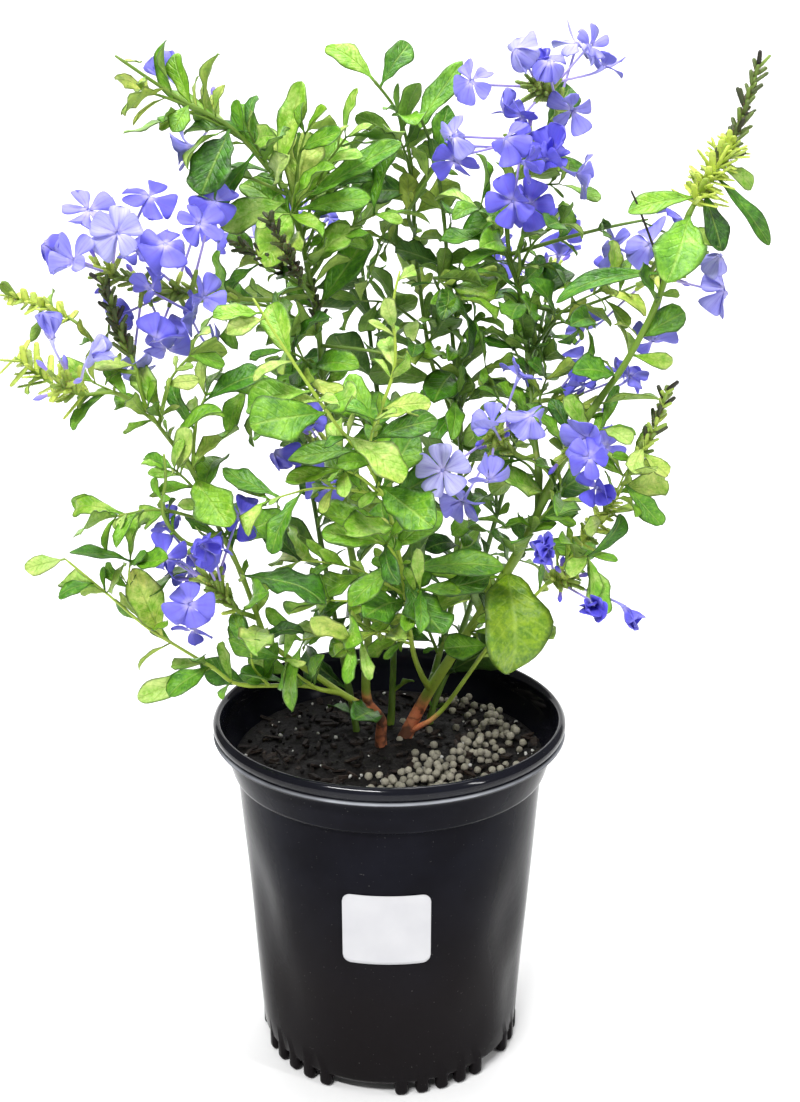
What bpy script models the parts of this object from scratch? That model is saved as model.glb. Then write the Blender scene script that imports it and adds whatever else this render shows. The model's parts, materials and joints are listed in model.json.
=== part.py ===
"""A cape plumbago in a one-gallon nursery pot: the pot with its feet, a bare label, the potting
mix with its prills, twelve leafy stems and fourteen flower heads.

Lengths are in millimetres and angles in degrees; MM turns them into Blender's metres when an object
is made. +Z is up, the front of the pot faces -Y, and the origin is the middle of the pot's base."""

import math
import random
from collections import namedtuple

import bmesh
import bpy
from mathutils import Matrix, Vector
from mathutils.bvhtree import BVHTree

MM = 0.001
CLEAR = 0.3  # gap between pieces that touch

# The pot
POT_HEIGHT = 168.0
RIM_RADIUS = 82.5
RIM_THICK = 5.6
RIM_DEPTH = 11.0  # how far the thick rim reaches down
RIM_BEAD = ((2.6, 0), (0.5, 1.5), (0, 3.5), (0.7, 6.5), (3.6, 7.2), (5.4, 14))  # inset and drop from its corner
BASE_RADIUS = 61.4
STEP_RADIUS = 71.8  # wall radius under the small step ring
STEP_HEIGHT = 141.5
BASE_HEIGHT = 8.5  # where the wall turns in to the base
WALL = 1.2
FLOOR = 1.5
FLOOR_UNDERSIDE = 6.0
FOOT_RADIUS = 10.0  # the moulded centre foot
POT_STEPS = 26
LUG_RING = 58.3
LUG_SIZE = (6.2, 5.0, 7.0)  # across, radial, high
LUG_GROUPS = (-48, 24, 83, 140, 197, 254)  # middle of each group, from the front towards +X
LUGS_A_GROUP = 5
LUG_PITCH = 9.3
DRAIN_HOLES = 6
DRAIN_RING = 44.0
DRAIN_RADIUS = 5.0

# The potting mix
SOIL_TOP = 148.0
SOIL_STEPS = 20
SOIL_DOME = 1.5
HEAP_PRILLS = 18
LOOSE_PRILLS = 3
PRILL_RADIUS = 2.3
PRILL_GAP = 4.2
STEM_DEPTH = 30.0  # how far a main stem goes down in its hole

# The label
LABEL_WIDTH = 40.0
LABEL_HEIGHT = 36.0
LABEL_CORNER = 4.0
LABEL_MIDDLE = (-1.0, 92.0)  # along the wall from the front, and height
LABEL_THICK = 0.6

# Leaves and florets
BLADE = 0.62
MARGIN = 1.0  # how much thicker than the real one a blade is when its room is tested
LARGE_LEAF = (0.0, 0.34, 0.64, 0.88, 1.0)  # where along its length a leaf has a row of corners
SMALL_LEAF = (0.0, 0.42, 0.8, 1.0)
GOLDEN = 137.5
LIMB_RADIUS = 12.2
LIMB_NOTCH = 0.5  # radius between two petals, as a share of the limb's
PETAL_SHOULDER = 25.0
CALYX_RADIUS = 0.85
TUBE_RADIUS = 0.9
STALK_RADIUS = 1.4
PLANT_MIDDLE = (5.0, 24.0)
TOWARD_VIEWER = Vector((0.0, -0.92, 0.39))
UP = Vector((0.0, 0.0, 1.0))

Stem = namedtuple("Stem", "points radii sides")
Leaf = namedtuple("Leaf", "root axis face length width droop stations")
Floret = namedtuple("Floret", "root throat face turn size")
Bud = namedtuple("Bud", "root axis length radius")

# Each leafy stem: its parent (None stands in the mix), its thickness at the two ends, its route
# from the root end, its side sprigs, how many spent calyces stand at its tip, and the rule of its
# leaves: where they start, how far apart they are, and their length at the bottom and at the tip.
STEMS = {
    "stem_tall_right": dict(
        parent=None, radii=(4.2, 1.5), sides=6, spike=9, leaves=(0.36, 27, 40, 20),
        route=[(7, 8, 146), (8, 8, 152), (17, 8, 171), (29, 5, 193), (44, 0, 220), (60, -5, 251),
               (75, -8, 288), (89, -10, 315), (102, -10, 335), (113, -12, 359), (118, -15, 377),
               (125, -15, 399), (136, -10, 416), (143, -5, 426), (154, 5, 457)],
        sprigs=[],
    ),
    "stem_low_right": dict(
        parent="stem_tall_right", radii=(1.5, 1.0), sides=6, spike=7, leaves=(0.3, 28, 26, 14),
        route=[(10, 7, 154), (20, 1, 163), (28, -3, 174), (48, -8, 207), (64, -11, 227), (79, -15, 246),
               (90, -20, 263), (99, -25, 280), (106, -28, 298), (112, -28, 307), (118, -26, 327)],
        sprigs=[],
    ),
    "stem_left": dict(
        parent=None, radii=(3.3, 1.2), sides=6, spike=0, leaves=(0.3, 27, 42, 24),
        route=[(-4, -2, 146), (-4, -2, 156), (-4, -1, 164), (-10, 1, 172), (-11, 2, 184),
               (-10, 6, 207), (-16, 12, 234), (-20, 18, 256), (-23, 22, 288), (-29, 22, 316),
               (-32, 20, 349), (-37, 15, 380), (-42, 10, 403), (-51, 5, 416), (-65, -5, 433),
               (-85, -12, 445), (-109, -20, 462)],
        sprigs=[],
    ),
    "stem_left_arch": dict(
        parent="stem_left", radii=(1.9, 1.1), sides=6, spike=8, leaves=(0.3, 30, 32, 16),
        route=[(-9, 0, 168), (-22, -10, 181), (-32, -15, 191), (-53, -25, 212), (-59, -32, 232),
               (-65, -38, 253), (-75, -42, 278), (-83, -45, 299), (-99, -45, 323), (-104, -42, 341),
               (-110, -40, 355), (-116, -36, 374)],
        sprigs=[[(-98, -45, 322), (-111, -50, 331), (-124, -52, 331), (-136, -54, 336), (-150, -55, 347)],
                [(-103, -43, 338), (-115, -38, 340), (-126, -32, 354), (-137, -28, 360), (-160, -20, 366)],
                [(-71, -41, 269), (-83, -50, 266), (-93, -55, 280), (-91, -58, 297), (-91, -60, 308)]],
    ),
    "stem_left_low": dict(
        parent="stem_left_arch", radii=(1.6, 1.0), sides=4, spike=0, leaves=(0.25, 28, 28, 16),
        route=[(-22, -10, 181), (-30, -18, 186), (-40, -22, 190), (-66, -35, 196), (-77, -42, 207),
               (-95, -50, 223), (-104, -53, 231), (-117, -56, 245), (-134, -60, 263)],
        sprigs=[],
    ),
    "stem_front": dict(
        parent="stem_tall_right", radii=(2.0, 1.1), sides=6, spike=0, leaves=(0.2, 25, 38, 20),
        route=[(19, 7, 176), (15, 0, 186), (11, -5, 200), (8, -15, 226), (5, -25, 251), (0, -38, 278),
               (-9, -50, 302), (-22, -60, 322), (-38, -68, 349), (-52, -70, 373)],
        sprigs=[[(-7, -48, 298), (-4, -50, 320), (3, -50, 343), (2, -48, 365), (5, -45, 380)]],
    ),
    "stem_centre": dict(
        parent="stem_tall_right", radii=(2.0, 1.2), sides=6, spike=0, leaves=(0.2, 22, 38, 22),
        route=[(19, 8, 175), (22, 15, 184), (30, 30, 212), (33, 45, 252), (34, 55, 291), (30, 58, 331),
               (27, 55, 367), (25, 50, 390), (21, 45, 416), (14, 40, 435)],
        sprigs=[],
    ),
    "stem_centre_top": dict(
        parent="stem_centre", radii=(1.5, 1.1), sides=4, spike=0, leaves=(0.12, 23, 36, 22),
        route=[(34, 54, 285), (27, 61, 304), (19, 65, 325), (12, 60, 378), (11, 55, 407), (5, 50, 434),
               (-7, 45, 451)],
        sprigs=[[(12, 59, 382), (9, 46, 393), (17, 38, 408), (27, 35, 422)]],
    ),
    "stem_right_upper": dict(
        parent="stem_tall_right", radii=(2.1, 1.3), sides=6, spike=0, leaves=(0.2, 25, 36, 22),
        route=[(67, -6, 268), (67, 2, 284), (65, 10, 301), (63, 20, 328), (59, 28, 359), (54, 32, 376),
               (53, 34, 398), (59, 32, 417), (71, 28, 434)],
        sprigs=[[(59, 28, 356), (76, 22, 352), (92, 14, 358), (108, 8, 366)],
                [(54, 32, 376), (77, 24, 384), (96, 16, 390), (112, 10, 394)]],
    ),
    "stem_back": dict(
        parent=None, radii=(2.4, 1.2), sides=4, spike=0, leaves=(0.2, 25, 42, 24),
        route=[(0, 22, 146), (1, 23, 160), (2, 34, 200), (0, 52, 260), (-8, 72, 320), (-14, 84, 370),
               (-18, 88, 408)],
        sprigs=[],
    ),
    "stem_back_left": dict(
        parent=None, radii=(2.2, 1.2), sides=4, spike=0, leaves=(0.2, 25, 40, 24),
        route=[(-16, 14, 146), (-17, 15, 158), (-26, 32, 200), (-36, 52, 250), (-43, 68, 295),
               (-48, 80, 335), (-50, 86, 360)],
        sprigs=[],
    ),
    "stem_back_right": dict(
        parent=None, radii=(2.2, 1.2), sides=4, spike=0, leaves=(0.2, 25, 40, 24),
        route=[(20, 24, 146), (21, 25, 158), (36, 40, 195), (52, 58, 245), (64, 72, 290), (72, 84, 325),
               (76, 90, 345)],
        sprigs=[],
    ),
}

# Each flower head: the stem that carries it, the route of its stalk, the middle of each blossom,
# how many more blossoms stand round the stalk by rule, and how many closed buds.
HEADS = {
    "bloom_top": dict(
        stem="stem_right_upper", route=[(71, 28, 434), (72, 22, 441), (67, 16, 446), (62, 10, 449)],
        blooms=[(52, -8, 464), (40, -12, 456), (62, -4, 452), (74, 4, 446), (80, 22, 466), (84, 16, 452)],
        more=0, buds=3,
    ),
    "bloom_top_front": dict(
        stem="stem_right_upper", route=[(57, 32, 412), (62, 22, 419), (60, 13, 425), (56, 6, 428)],
        blooms=[(36, -14, 446), (48, -24, 430), (28, -4, 420), (68, -8, 424), (80, 8, 413), (52, -12, 404),
                (66, 2, 404)],
        more=0, buds=3,
    ),
    "bloom_left": dict(
        stem="stem_left", route=[(-33, 18, 360), (-52, 5, 360), (-68, -8, 363), (-86, -18, 367),
                                 (-106, -25, 373), (-118, -30, 378)],
        blooms=[(-118, -48, 404), (-136, -50, 391), (-104, -56, 396), (-96, -34, 408), (-88, -50, 391),
                (-76, -36, 398), (-122, -62, 386), (-70, -20, 404), (-108, -38, 345), (-94, -44, 352),
                (-80, -30, 360), (-117, -22, 356), (-94, -16, 343), (-80, -14, 340)],
        more=0, buds=6,
    ),
    "bloom_far_left": dict(
        stem="stem_left_arch", route=[(-124, -52, 331), (-126, -60, 334), (-129, -66, 338)],
        blooms=[(-132, -66, 356), (-116, -74, 350)],
        more=0, buds=4,
    ),
    "bloom_low_left": dict(
        stem="stem_left_arch", route=[(-58, -29, 225), (-66, -37, 232), (-72, -41, 241), (-76, -44, 248)],
        blooms=[(-94, -48, 276), (-80, -38, 279), (-64, -34, 272), (-72, -56, 266), (-92, -60, 262),
                (-82, -68, 246), (-84, -50, 220)],
        more=0, buds=2,
    ),
    "bloom_centre_left": dict(
        stem="stem_left", route=[(-24, 22, 294), (-30, 14, 292), (-34, 8, 294)],
        blooms=[(-38, 2, 312), (-50, -4, 294), (-28, -8, 280)],
        more=0, buds=2,
    ),
    "bloom_centre": dict(
        stem="stem_right_upper", route=[(66, 5, 290), (60, 2, 290), (51, -4, 297), (46, -9, 304)],
        blooms=[(23, -38, 295), (60, -36, 318), (56, -14, 330), (43, -36, 291), (33, -22, 277)],
        more=0, buds=5,
    ),
    "bloom_right": dict(
        stem="stem_right_upper", route=[(64, 14, 312), (72, 16, 313), (80, 12, 312), (86, 8, 310)],
        blooms=[(84, -2, 335), (98, 14, 292), (104, 10, 326)],
        more=0, buds=3,
    ),
    "bloom_right_front": dict(
        stem="stem_tall_right", route=[(82, -9, 302), (80, -18, 302), (78, -25, 300)],
        blooms=[(84, -34, 308), (89, -32, 286)],
        more=0, buds=3,
    ),
    "bloom_right_back": dict(
        stem="stem_right_upper", route=[(108, 8, 366), (115, 10, 369), (124, 12, 372)],
        blooms=[(100, 24, 380), (112, 2, 384), (94, 20, 350), (126, 14, 394), (141, -4, 380), (146, 8, 364),
                (117, 12, 341)],
        more=0, buds=3,
    ),
    "bloom_low_right": dict(
        stem="stem_low_right", route=[(71, -13, 236), (74, -20, 240), (78, -26, 242)],
        blooms=[(88, -46, 238), (66, -36, 256), (103, -34, 232)],
        more=0, buds=4,
    ),
    "bloom_top_left": dict(
        stem="stem_left", route=[(-67, -6, 434), (-73, 2, 439), (-77, 8, 441)],
        blooms=[(-92, 18, 452), (-84, 14, 424)],
        more=0, buds=2,
    ),
    "bloom_back_left": dict(
        stem="stem_back_left", route=[(-50, 86, 360), (-51, 89, 368), (-53, 92, 376)],
        blooms=[], more=5, buds=2,
    ),
    "bloom_back_right": dict(
        stem="stem_back_right", route=[(76, 90, 345), (77, 93, 352), (78, 96, 360)],
        blooms=[], more=5, buds=2,
    ),
}

# Leaves that show in front: how far along the stem, heading from +X, rise, length, width, and, where
# it is given, how far the blade bends down
CHOSEN_LEAVES = {
    "stem_tall_right": [
        (0.35, -86, -22, 52, 32, 62), (0.82, -105, -30, 36, 22), (0.85, -55, -62, 27, 12),
        (0.87, -10, -42, 40, 9), (0.84, -165, 0, 31, 11), (0.88, 15, -15, 22, 8),
        (0.67, -10, 40, 22, 14), (0.75, -172, 4, 48, 10), (0.62, -140, 25, 24, 14),
        (0.65, 0, -14, 21, 8), (0.46, -150, 25, 26, 18), (0.42, -5, 30, 22, 14),
        (0.38, -30, 10, 44, 13, 50), (0.34, -150, 14, 40, 14),
    ],
    "stem_low_right": [
        (0.78, -35, -40, 24, 10), (0.86, -20, -40, 16, 8), (0.87, -125, -20, 14, 9), (0.28, -155, 4, 22, 13),
    ],
    "stem_left": [
        (0.13, -100, 25, 24, 16), (0.99, 20, -5, 14, 7), (0.87, -170, 38, 40, 12), (0.91, -110, -30, 16, 9),
        (0.86, -125, -48, 34, 20), (0.82, -165, -48, 38, 12), (0.75, -155, -8, 33, 15),
        (0.74, -128, -20, 34, 18), (0.78, 25, 74, 42, 12), (0.8, 178, 62, 28, 12), (0.735, -60, 78, 36, 17),
        (0.74, 18, 55, 42, 12), (0.74, -4, 38, 54, 11), (0.74, -28, 12, 34, 11), (0.67, -38, 45, 28, 15),
        (0.62, 0, 55, 42, 16), (0.56, -120, -10, 30, 18), (0.5, -30, 15, 32, 18),
    ],
    "stem_left_arch": [
        (0.63, -62, -28, 28, 18), (0.42, -28, 4, 42, 20), (0.85, -165, 10, 20, 10), (0.7, -35, 45, 28, 13),
        (0.5, -20, 30, 30, 15), (0.3, -95, 15, 34, 17),
    ],
    "stem_left_low": [
        (0.14, -140, 22, 34, 16), (1.0, -165, -8, 17, 9), (0.62, -128, 64, 34, 16), (0.84, -50, 45, 20, 13),
        (0.43, -150, -12, 35, 10), (0.89, -150, 0, 16, 9),
    ],
    "stem_front": [
        (0.44, -155, 18, 35, 16), (0.75, -140, 2, 33, 21), (0.8, -170, -6, 35, 17), (0.32, -18, 18, 46, 14),
        (0.3, -62, -24, 34, 20), (0.69, -40, -16, 32, 16), (0.97, -150, 4, 20, 10), (0.55, -60, -5, 38, 19),
        (0.24, -120, 20, 34, 17), (0.5, 10, 35, 30, 15),
    ],
    "stem_centre_top": [
        (0.8, 15, 58, 44, 12), (0.99, 178, 50, 28, 12), (0.97, 0, 62, 24, 11), (0.67, -150, 6, 30, 18),
    ],
    "stem_centre": [(0.92, -70, 72, 26, 11), (0.7, -60, 12, 34, 17), (0.55, -110, 0, 34, 18)],
    "stem_right_upper": [(0.77, -150, -38, 26, 16), (0.9, 0, -18, 30, 12), (0.5, -100, 10, 32, 16)],
}


def length_of(points):
    return sum((b - a).length for a, b in zip(points, points[1:]))


def along(points, share):
    """(point, direction) at this share of a route's length."""
    left = share * length_of(points)
    for a, b in zip(points, points[1:]):
        step = (b - a).length
        if left <= step:
            return a.lerp(b, left / step), (b - a) / step
        left -= step
    return points[-1].copy(), (points[-1] - points[-2]).normalized()


def nearest_share(points, place):
    """The share of the route's length that lies nearest to a place."""
    shares = [i / 200 for i in range(201)]
    return min(shares, key=lambda s: (along(points, s)[0] - place).length)


def distance_to(points, place):
    return (along(points, nearest_share(points, place))[0] - place).length


def across(axis, toward):
    """The unit vector square to axis that lies nearest to toward."""
    flat = toward - axis * toward.dot(axis)
    return flat.normalized() if flat.length > 1e-4 else axis.orthogonal().normalized()


def heading(degrees, rise):
    """A unit vector from its heading about +Z and its rise over the level."""
    turn, lift = math.radians(degrees), math.radians(rise)
    return Vector((math.cos(turn) * math.cos(lift), math.sin(turn) * math.cos(lift), math.sin(lift)))


def radius_at(spec, share):
    low, high = spec["radii"]
    return low + (high - low) * share ** 0.8


def cleared_start(route, parent, parent_radius, radius):
    """The route without the stretch that would lie inside its parent."""
    total = length_of(route)
    travelled = 0.0
    while travelled < total / 2:
        place, way = along(route, travelled / total)
        side = way.orthogonal().normalized()
        ring = [place + Matrix.Rotation(math.radians(45 * k), 3, way) @ side * radius for k in range(8)]
        gap = min(distance_to(parent, corner) for corner in ring)
        if gap >= parent_radius + CLEAR:
            break
        travelled += 0.25
    kept = [place]
    done = 0.0
    for a, b in zip(route, route[1:]):
        done += (b - a).length
        if done > travelled + 2.5:
            kept.append(b)
    return kept


def stem_route(name):
    spec = STEMS[name]
    route = [Vector(p) for p in spec["route"]]
    if spec["parent"] is None:
        foot = Vector((route[0].x, route[0].y, SOIL_TOP - STEM_DEPTH))
        return [foot] + route
    parent = stem_route(spec["parent"])
    share = nearest_share(parent, route[0])
    return cleared_start(route, parent, radius_at(STEMS[spec["parent"]], share), spec["radii"][0])


def blade_outline(t):
    """Half width of a spatula-shaped leaf at t, from 0 to 1."""
    return t ** 1.1 * max(1 - t ** 3.2, 0.0) ** 0.6 / 0.535


def blade_point(leaf, t, u):
    """A point of a leaf: t runs from its root to its tip, and u from -1 to 1 across it."""
    bend = math.radians(leaf.droop)
    out = leaf.length * math.sin(bend * t) / bend
    drop = leaf.length * (1 - math.cos(bend * t)) / bend
    half = leaf.width / 2 * blade_outline(t)
    side = leaf.axis.cross(leaf.face)
    return leaf.root + leaf.axis * out - leaf.face * drop + side * (half * u)


def blade_mesh(leaf, stations, thickness):
    """A leaf as a closed solid, split into triangles alike on both faces."""
    bm = bmesh.new()
    rows = len(stations) - 1
    bmesh.ops.create_grid(bm, x_segments=1, y_segments=rows, size=1.0)
    for vert in bm.verts:
        t = stations[round((vert.co.y + 1) / 2 * rows)]
        vert.co = blade_point(leaf, t, vert.co.x)
    bmesh.ops.remove_doubles(bm, verts=bm.verts[:], dist=0.01)
    return thickened(bm, thickness)


def thickened(bm, thickness):
    """An open sheet made a closed solid of this thickness about its middle."""
    bmesh.ops.triangulate(bm, faces=bm.faces[:])
    bm.normal_update()
    for vert in bm.verts:
        vert.co -= vert.normal * (thickness / 2)
    bm.normal_update()
    bmesh.ops.solidify(bm, geom=bm.faces[:], thickness=-thickness)
    bmesh.ops.recalc_face_normals(bm, faces=bm.faces[:])
    return bm


def aimed(place, way, toward=UP):
    """The matrix that stands a shape's +Z along way at this place."""
    side = across(way, toward)
    turn = Matrix((way.cross(side).normalized() * -1, side, way)).transposed()
    return Matrix.Translation(place) @ turn.to_4x4()


def ring_of(bm, places, capped=False):
    """A closed ring of edges through the places, with a face over it if capped."""
    made = bmesh.ops.create_circle(bm, segments=len(places), radius=1.0, cap_ends=capped)["verts"]
    made.sort(key=lambda v: math.atan2(v.co.y, v.co.x) % (2 * math.pi))
    for vert, place in zip(made, places):
        vert.co = place
    return [e for e in bm.edges if e.verts[0] in made and e.verts[1] in made]


def limb_outline(floret, height):
    """The corners of the five-petalled limb: a notch and two shoulders for each petal."""
    frame = aimed(floret.throat, floret.face)
    corners = []
    for petal in range(5):
        for angle, share in ((0, LIMB_NOTCH), (36 - PETAL_SHOULDER, 1), (36 + PETAL_SHOULDER, 1)):
            turn = math.radians(petal * 72 + angle + floret.turn)
            radius = floret.size * share
            corners.append(frame @ Vector((radius * math.cos(turn), radius * math.sin(turn), height)))
    return corners


def floret_mesh(floret, grown=0.0, start=0.0):
    """A floret as one closed loft: a three-sided tube that opens in the thin star of its petals."""
    bm = bmesh.new()
    root = floret.root.lerp(floret.throat, start)
    tube_frame = aimed(root, (floret.throat - root).normalized())
    limb_frame = aimed(floret.throat, floret.face)
    turns = [math.radians(120 * k + floret.turn) for k in range(3)]
    corners = [Vector((math.cos(turn), math.sin(turn), 0)) for turn in turns]
    foot = [tube_frame @ (corner * (CALYX_RADIUS + grown)) for corner in corners]
    neck = [limb_frame @ (corner * (TUBE_RADIUS + grown) - UP * (1 + grown)) for corner in corners]
    foot = nearest_turn(foot, neck)
    rings = [ring_of(bm, foot, True), ring_of(bm, neck)]
    rings.append(ring_of(bm, limb_outline(floret, -grown)))
    rings.append(ring_of(bm, limb_outline(floret, BLADE + grown), True))
    for low, high in zip(rings, rings[1:]):
        bmesh.ops.bridge_loops(bm, edges=low + high)
    bmesh.ops.triangulate(bm, faces=bm.faces[:])
    bmesh.ops.recalc_face_normals(bm, faces=bm.faces[:])
    return bm


def nearest_turn(ring, target):
    """The ring's corners in the order that lies nearest to the target's."""
    turns = [ring[k:] + ring[:k] for k in range(len(ring))]
    return min(turns, key=lambda r: sum((p - q).length for p, q in zip(r, target)))


def cone_mesh(start, end, radius_start, radius_end, sides=3):
    bm = bmesh.new()
    way = end - start
    bmesh.ops.create_cone(
        bm, cap_ends=True, cap_tris=False, segments=sides, radius1=radius_start, radius2=radius_end,
        depth=way.length, matrix=aimed(start.lerp(end, 0.5), way.normalized()),
    )
    return bm


def tube_mesh(bm_name, points, radii, sides):
    """A closed tube through the points, made from a bevelled curve."""
    curve = bpy.data.curves.new(bm_name, "CURVE")
    curve.dimensions = "3D"
    curve.bevel_depth = 1.0
    curve.bevel_resolution = (sides - 4) // 2
    curve.use_fill_caps = True
    spline = curve.splines.new("POLY")
    spline.points.add(len(points) - 1)
    for target, place, radius in zip(spline.points, points, radii):
        target.co = (*place, 1.0)
        target.radius = radius
    made = bpy.data.objects.new(bm_name, curve)
    bpy.context.scene.collection.objects.link(made)
    bpy.context.view_layer.update()
    mesh = bpy.data.meshes.new_from_object(made.evaluated_get(bpy.context.evaluated_depsgraph_get()))
    bpy.data.objects.remove(made)
    bpy.data.curves.remove(curve)
    bm = bmesh.new()
    bm.from_mesh(mesh)
    bpy.data.meshes.remove(mesh)
    bmesh.ops.remove_doubles(bm, verts=bm.verts[:], dist=1e-3)
    bmesh.ops.recalc_face_normals(bm, faces=bm.faces[:])
    return bm


class Space:
    """Keeps every shape placed so far, and says whether a new one would touch them."""

    def __init__(self):
        self.taken = []

    def shape(self, bm, owner):
        places = [v.co for v in bm.verts]
        middle = sum(places, Vector()) / len(places)
        reach = max((p - middle).length for p in places)
        tree = BVHTree.FromBMesh(bm)
        bm.free()
        return middle, reach, tree, owner

    def free(self, shape, skip=None):
        middle, reach, tree, _ = shape
        for other, far, other_tree, owner in self.taken:
            if owner != skip and (other - middle).length < reach + far and tree.overlap(other_tree):
                return False
        return True

    def add(self, shape):
        self.taken.append(shape)


def leaf_fits(space, leaf, owner):
    """Takes the leaf's room if its blade is clear of everything, and its root of the other nodes."""
    whole = space.shape(blade_mesh(leaf, leaf.stations, BLADE + MARGIN), owner)
    blade = space.shape(blade_mesh(leaf, leaf.stations[1:], BLADE + MARGIN), owner)
    if space.free(whole, skip=owner) and space.free(blade):
        space.add(whole)
        return True
    return False


def grow():
    """Places everything: (stems, heads). A stem is (tubes, leaves, buds), a head (tube, florets, buds)."""
    space = Space()
    stems, heads = {}, {}
    for name, spec in STEMS.items():
        route = stem_route(name)
        total = len(route) - 1
        tubes = [Stem(route, [radius_at(spec, i / total) for i in range(total + 1)], spec["sides"])]
        for sprig in spec["sprigs"]:
            points = [Vector(p) for p in sprig]
            thick = [1.25 - 0.3 * i / (len(points) - 1) for i in range(len(points))]
            tubes.append(Stem(points, thick, 4))
        stems[name] = (tubes, [], [])
        for tube in tubes:
            wide = [r + CLEAR + 0.15 for r in tube.radii]
            space.add(space.shape(tube_mesh(name, tube.points, wide, tube.sides), name))
    for name, spec in HEADS.items():
        carrier = stems[spec["stem"]][0]
        route = [Vector(p) for p in spec["route"]]
        tube = min(carrier, key=lambda c: distance_to(c.points, route[0]))
        share = nearest_share(tube.points, route[0])
        if share > 0.985:
            tip, way = along(tube.points, 1.0)
            route[0] = tip + way * CLEAR
            route.insert(1, tip + way * 3)
        else:
            thick = tube.radii[round(share * (len(tube.radii) - 1))]
            route = cleared_start(route, tube.points, thick, STALK_RADIUS)
        heads[name] = (Stem(route, [STALK_RADIUS] * len(route), 4), [], [])
        space.add(space.shape(tube_mesh(name, route, [STALK_RADIUS + CLEAR] * len(route), 4), name))
    for name in HEADS:
        place_florets(space, name, heads[name])
    for name, rows in CHOSEN_LEAVES.items():
        draw = random.Random(name)
        for share, turn, rise, length, width, *droop in rows:
            place_leaf(space, draw, name, stems[name], share, heading(turn, rise), length, width,
                       droop=droop[0] if droop else draw.uniform(10, 34), chosen=True)
    for name in STEMS:
        place_leaves_by_rule(space, name, stems[name])
    for name in STEMS:
        place_spikes(space, name, stems[name])
    for name in HEADS:
        place_buds(space, name, heads[name])
    return stems, heads


def place_leaf(space, draw, name, stem, share, way, length, width, droop, chosen=False, tube=None):
    """Puts a leaf at this share of the stem, turned a little or shortened where it would touch something."""
    root, axis = along((tube or stem[0][0]).points, share)
    outward = Vector((root.x - PLANT_MIDDLE[0], root.y - PLANT_MIDDLE[1], 0)).normalized()
    for attempt in range(16):
        sway = 7 * attempt ** 0.7
        aim = Matrix.Rotation(math.radians(draw.uniform(-sway, sway)), 3, axis) @ way
        aim = (aim + axis * math.radians(draw.uniform(-sway, sway)) * 0.7).normalized()
        light = TOWARD_VIEWER * 0.8 + UP * 0.45 if chosen else UP * 0.55 + outward * 0.75
        face = across(aim, light)
        spread = (12 if chosen else 24) + sway
        face = Matrix.Rotation(math.radians(draw.uniform(-spread, spread)), 3, aim) @ face
        size = 1 - 0.02 * attempt
        stations = LARGE_LEAF if chosen and length > 29 else SMALL_LEAF
        leaf = Leaf(root, aim, face, length * size, width * size, droop, stations)
        tip = blade_point(leaf, 1.0, 0.0)
        if tip.z < SOIL_TOP + 6 and math.hypot(tip.x, tip.y) < RIM_RADIUS + 8:
            continue
        if leaf_fits(space, leaf, name):
            stem[1].append(leaf)
            return


def place_leaves_by_rule(space, name, stem):
    """Fills a stem with leaves in a spiral, and its sprigs with shorter ones."""
    spec = STEMS[name]
    start, pitch, low, high = spec["leaves"]
    draw = random.Random("rule " + name)
    turn = draw.uniform(0, 360)
    for index, tube in enumerate(stem[0]):
        total = length_of(tube.points)
        first, size = (start, 1.0) if index == 0 else (0.25, 0.6)
        at = first * total + draw.uniform(0, pitch / 2)
        last = total * (0.8 if spec["spike"] and index == 0 else 0.99)
        while at < last:
            share = at / total
            axis = along(tube.points, share)[1]
            side = Matrix.Rotation(math.radians(turn), 3, axis) @ across(axis, TOWARD_VIEWER)
            lean = math.radians(draw.uniform(42, 68))
            way = axis * math.cos(lean) + side * math.sin(lean)
            length = (low + (high - low) * share) * size * draw.uniform(0.9, 1.2)
            width = length * draw.uniform(0.44, 0.56)
            place_leaf(space, draw, name, stem, share, way, length, width, draw.uniform(10, 34), tube=tube)
            turn += GOLDEN
            at += pitch * draw.uniform(0.8, 1.2) * (0.8 if index else 1.0)


def floret_fits(space, floret, owner):
    """Takes the floret's room if its limb is clear of everything, and its tube of the other nodes."""
    whole = space.shape(floret_mesh(floret, MARGIN / 2, 0.1), owner)
    limb = space.shape(floret_mesh(floret, MARGIN / 2, 0.45), owner)
    if space.free(whole, skip=owner) and space.free(limb):
        space.add(limb)
        return True
    return False


def place_florets(space, name, head):
    """Opens a head's blossoms: those seen in front at their places, and more round the stalk by rule."""
    spec = HEADS[name]
    draw = random.Random(name)
    stalk = head[0].points
    count = len(spec["blooms"]) + spec["more"]
    for index in range(count):
        for attempt in range(16):
            root = along(stalk, 0.3 + 0.68 * (index + 0.5) / count)[0]
            if index < len(spec["blooms"]):
                throat = Vector(spec["blooms"][index])
                root = min((along(stalk, 0.25 + 0.07 * k)[0] for k in range(11)),
                           key=lambda q: abs((throat - q).length - 30))
            else:
                around = math.radians(index * GOLDEN)
                out = Vector((math.cos(around), math.sin(around), draw.uniform(0.1, 1.3))).normalized()
                throat = root + out * draw.uniform(26, 33)
            sway = 1.5 * attempt
            throat = throat + Vector([draw.uniform(-sway, sway) for _ in range(3)])
            way = (throat - root).normalized()
            face = way * 0.9 + Vector([draw.uniform(-0.4, 0.4) for _ in range(3)])
            if index < len(spec["blooms"]):
                face += TOWARD_VIEWER * 0.55
            floret = Floret(root, throat, face.normalized(), draw.uniform(0, 72),
                            LIMB_RADIUS * draw.uniform(0.93, 1.04) * (1 - 0.012 * attempt))
            if floret_fits(space, floret, name):
                head[1].append(floret)
                break


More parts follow.
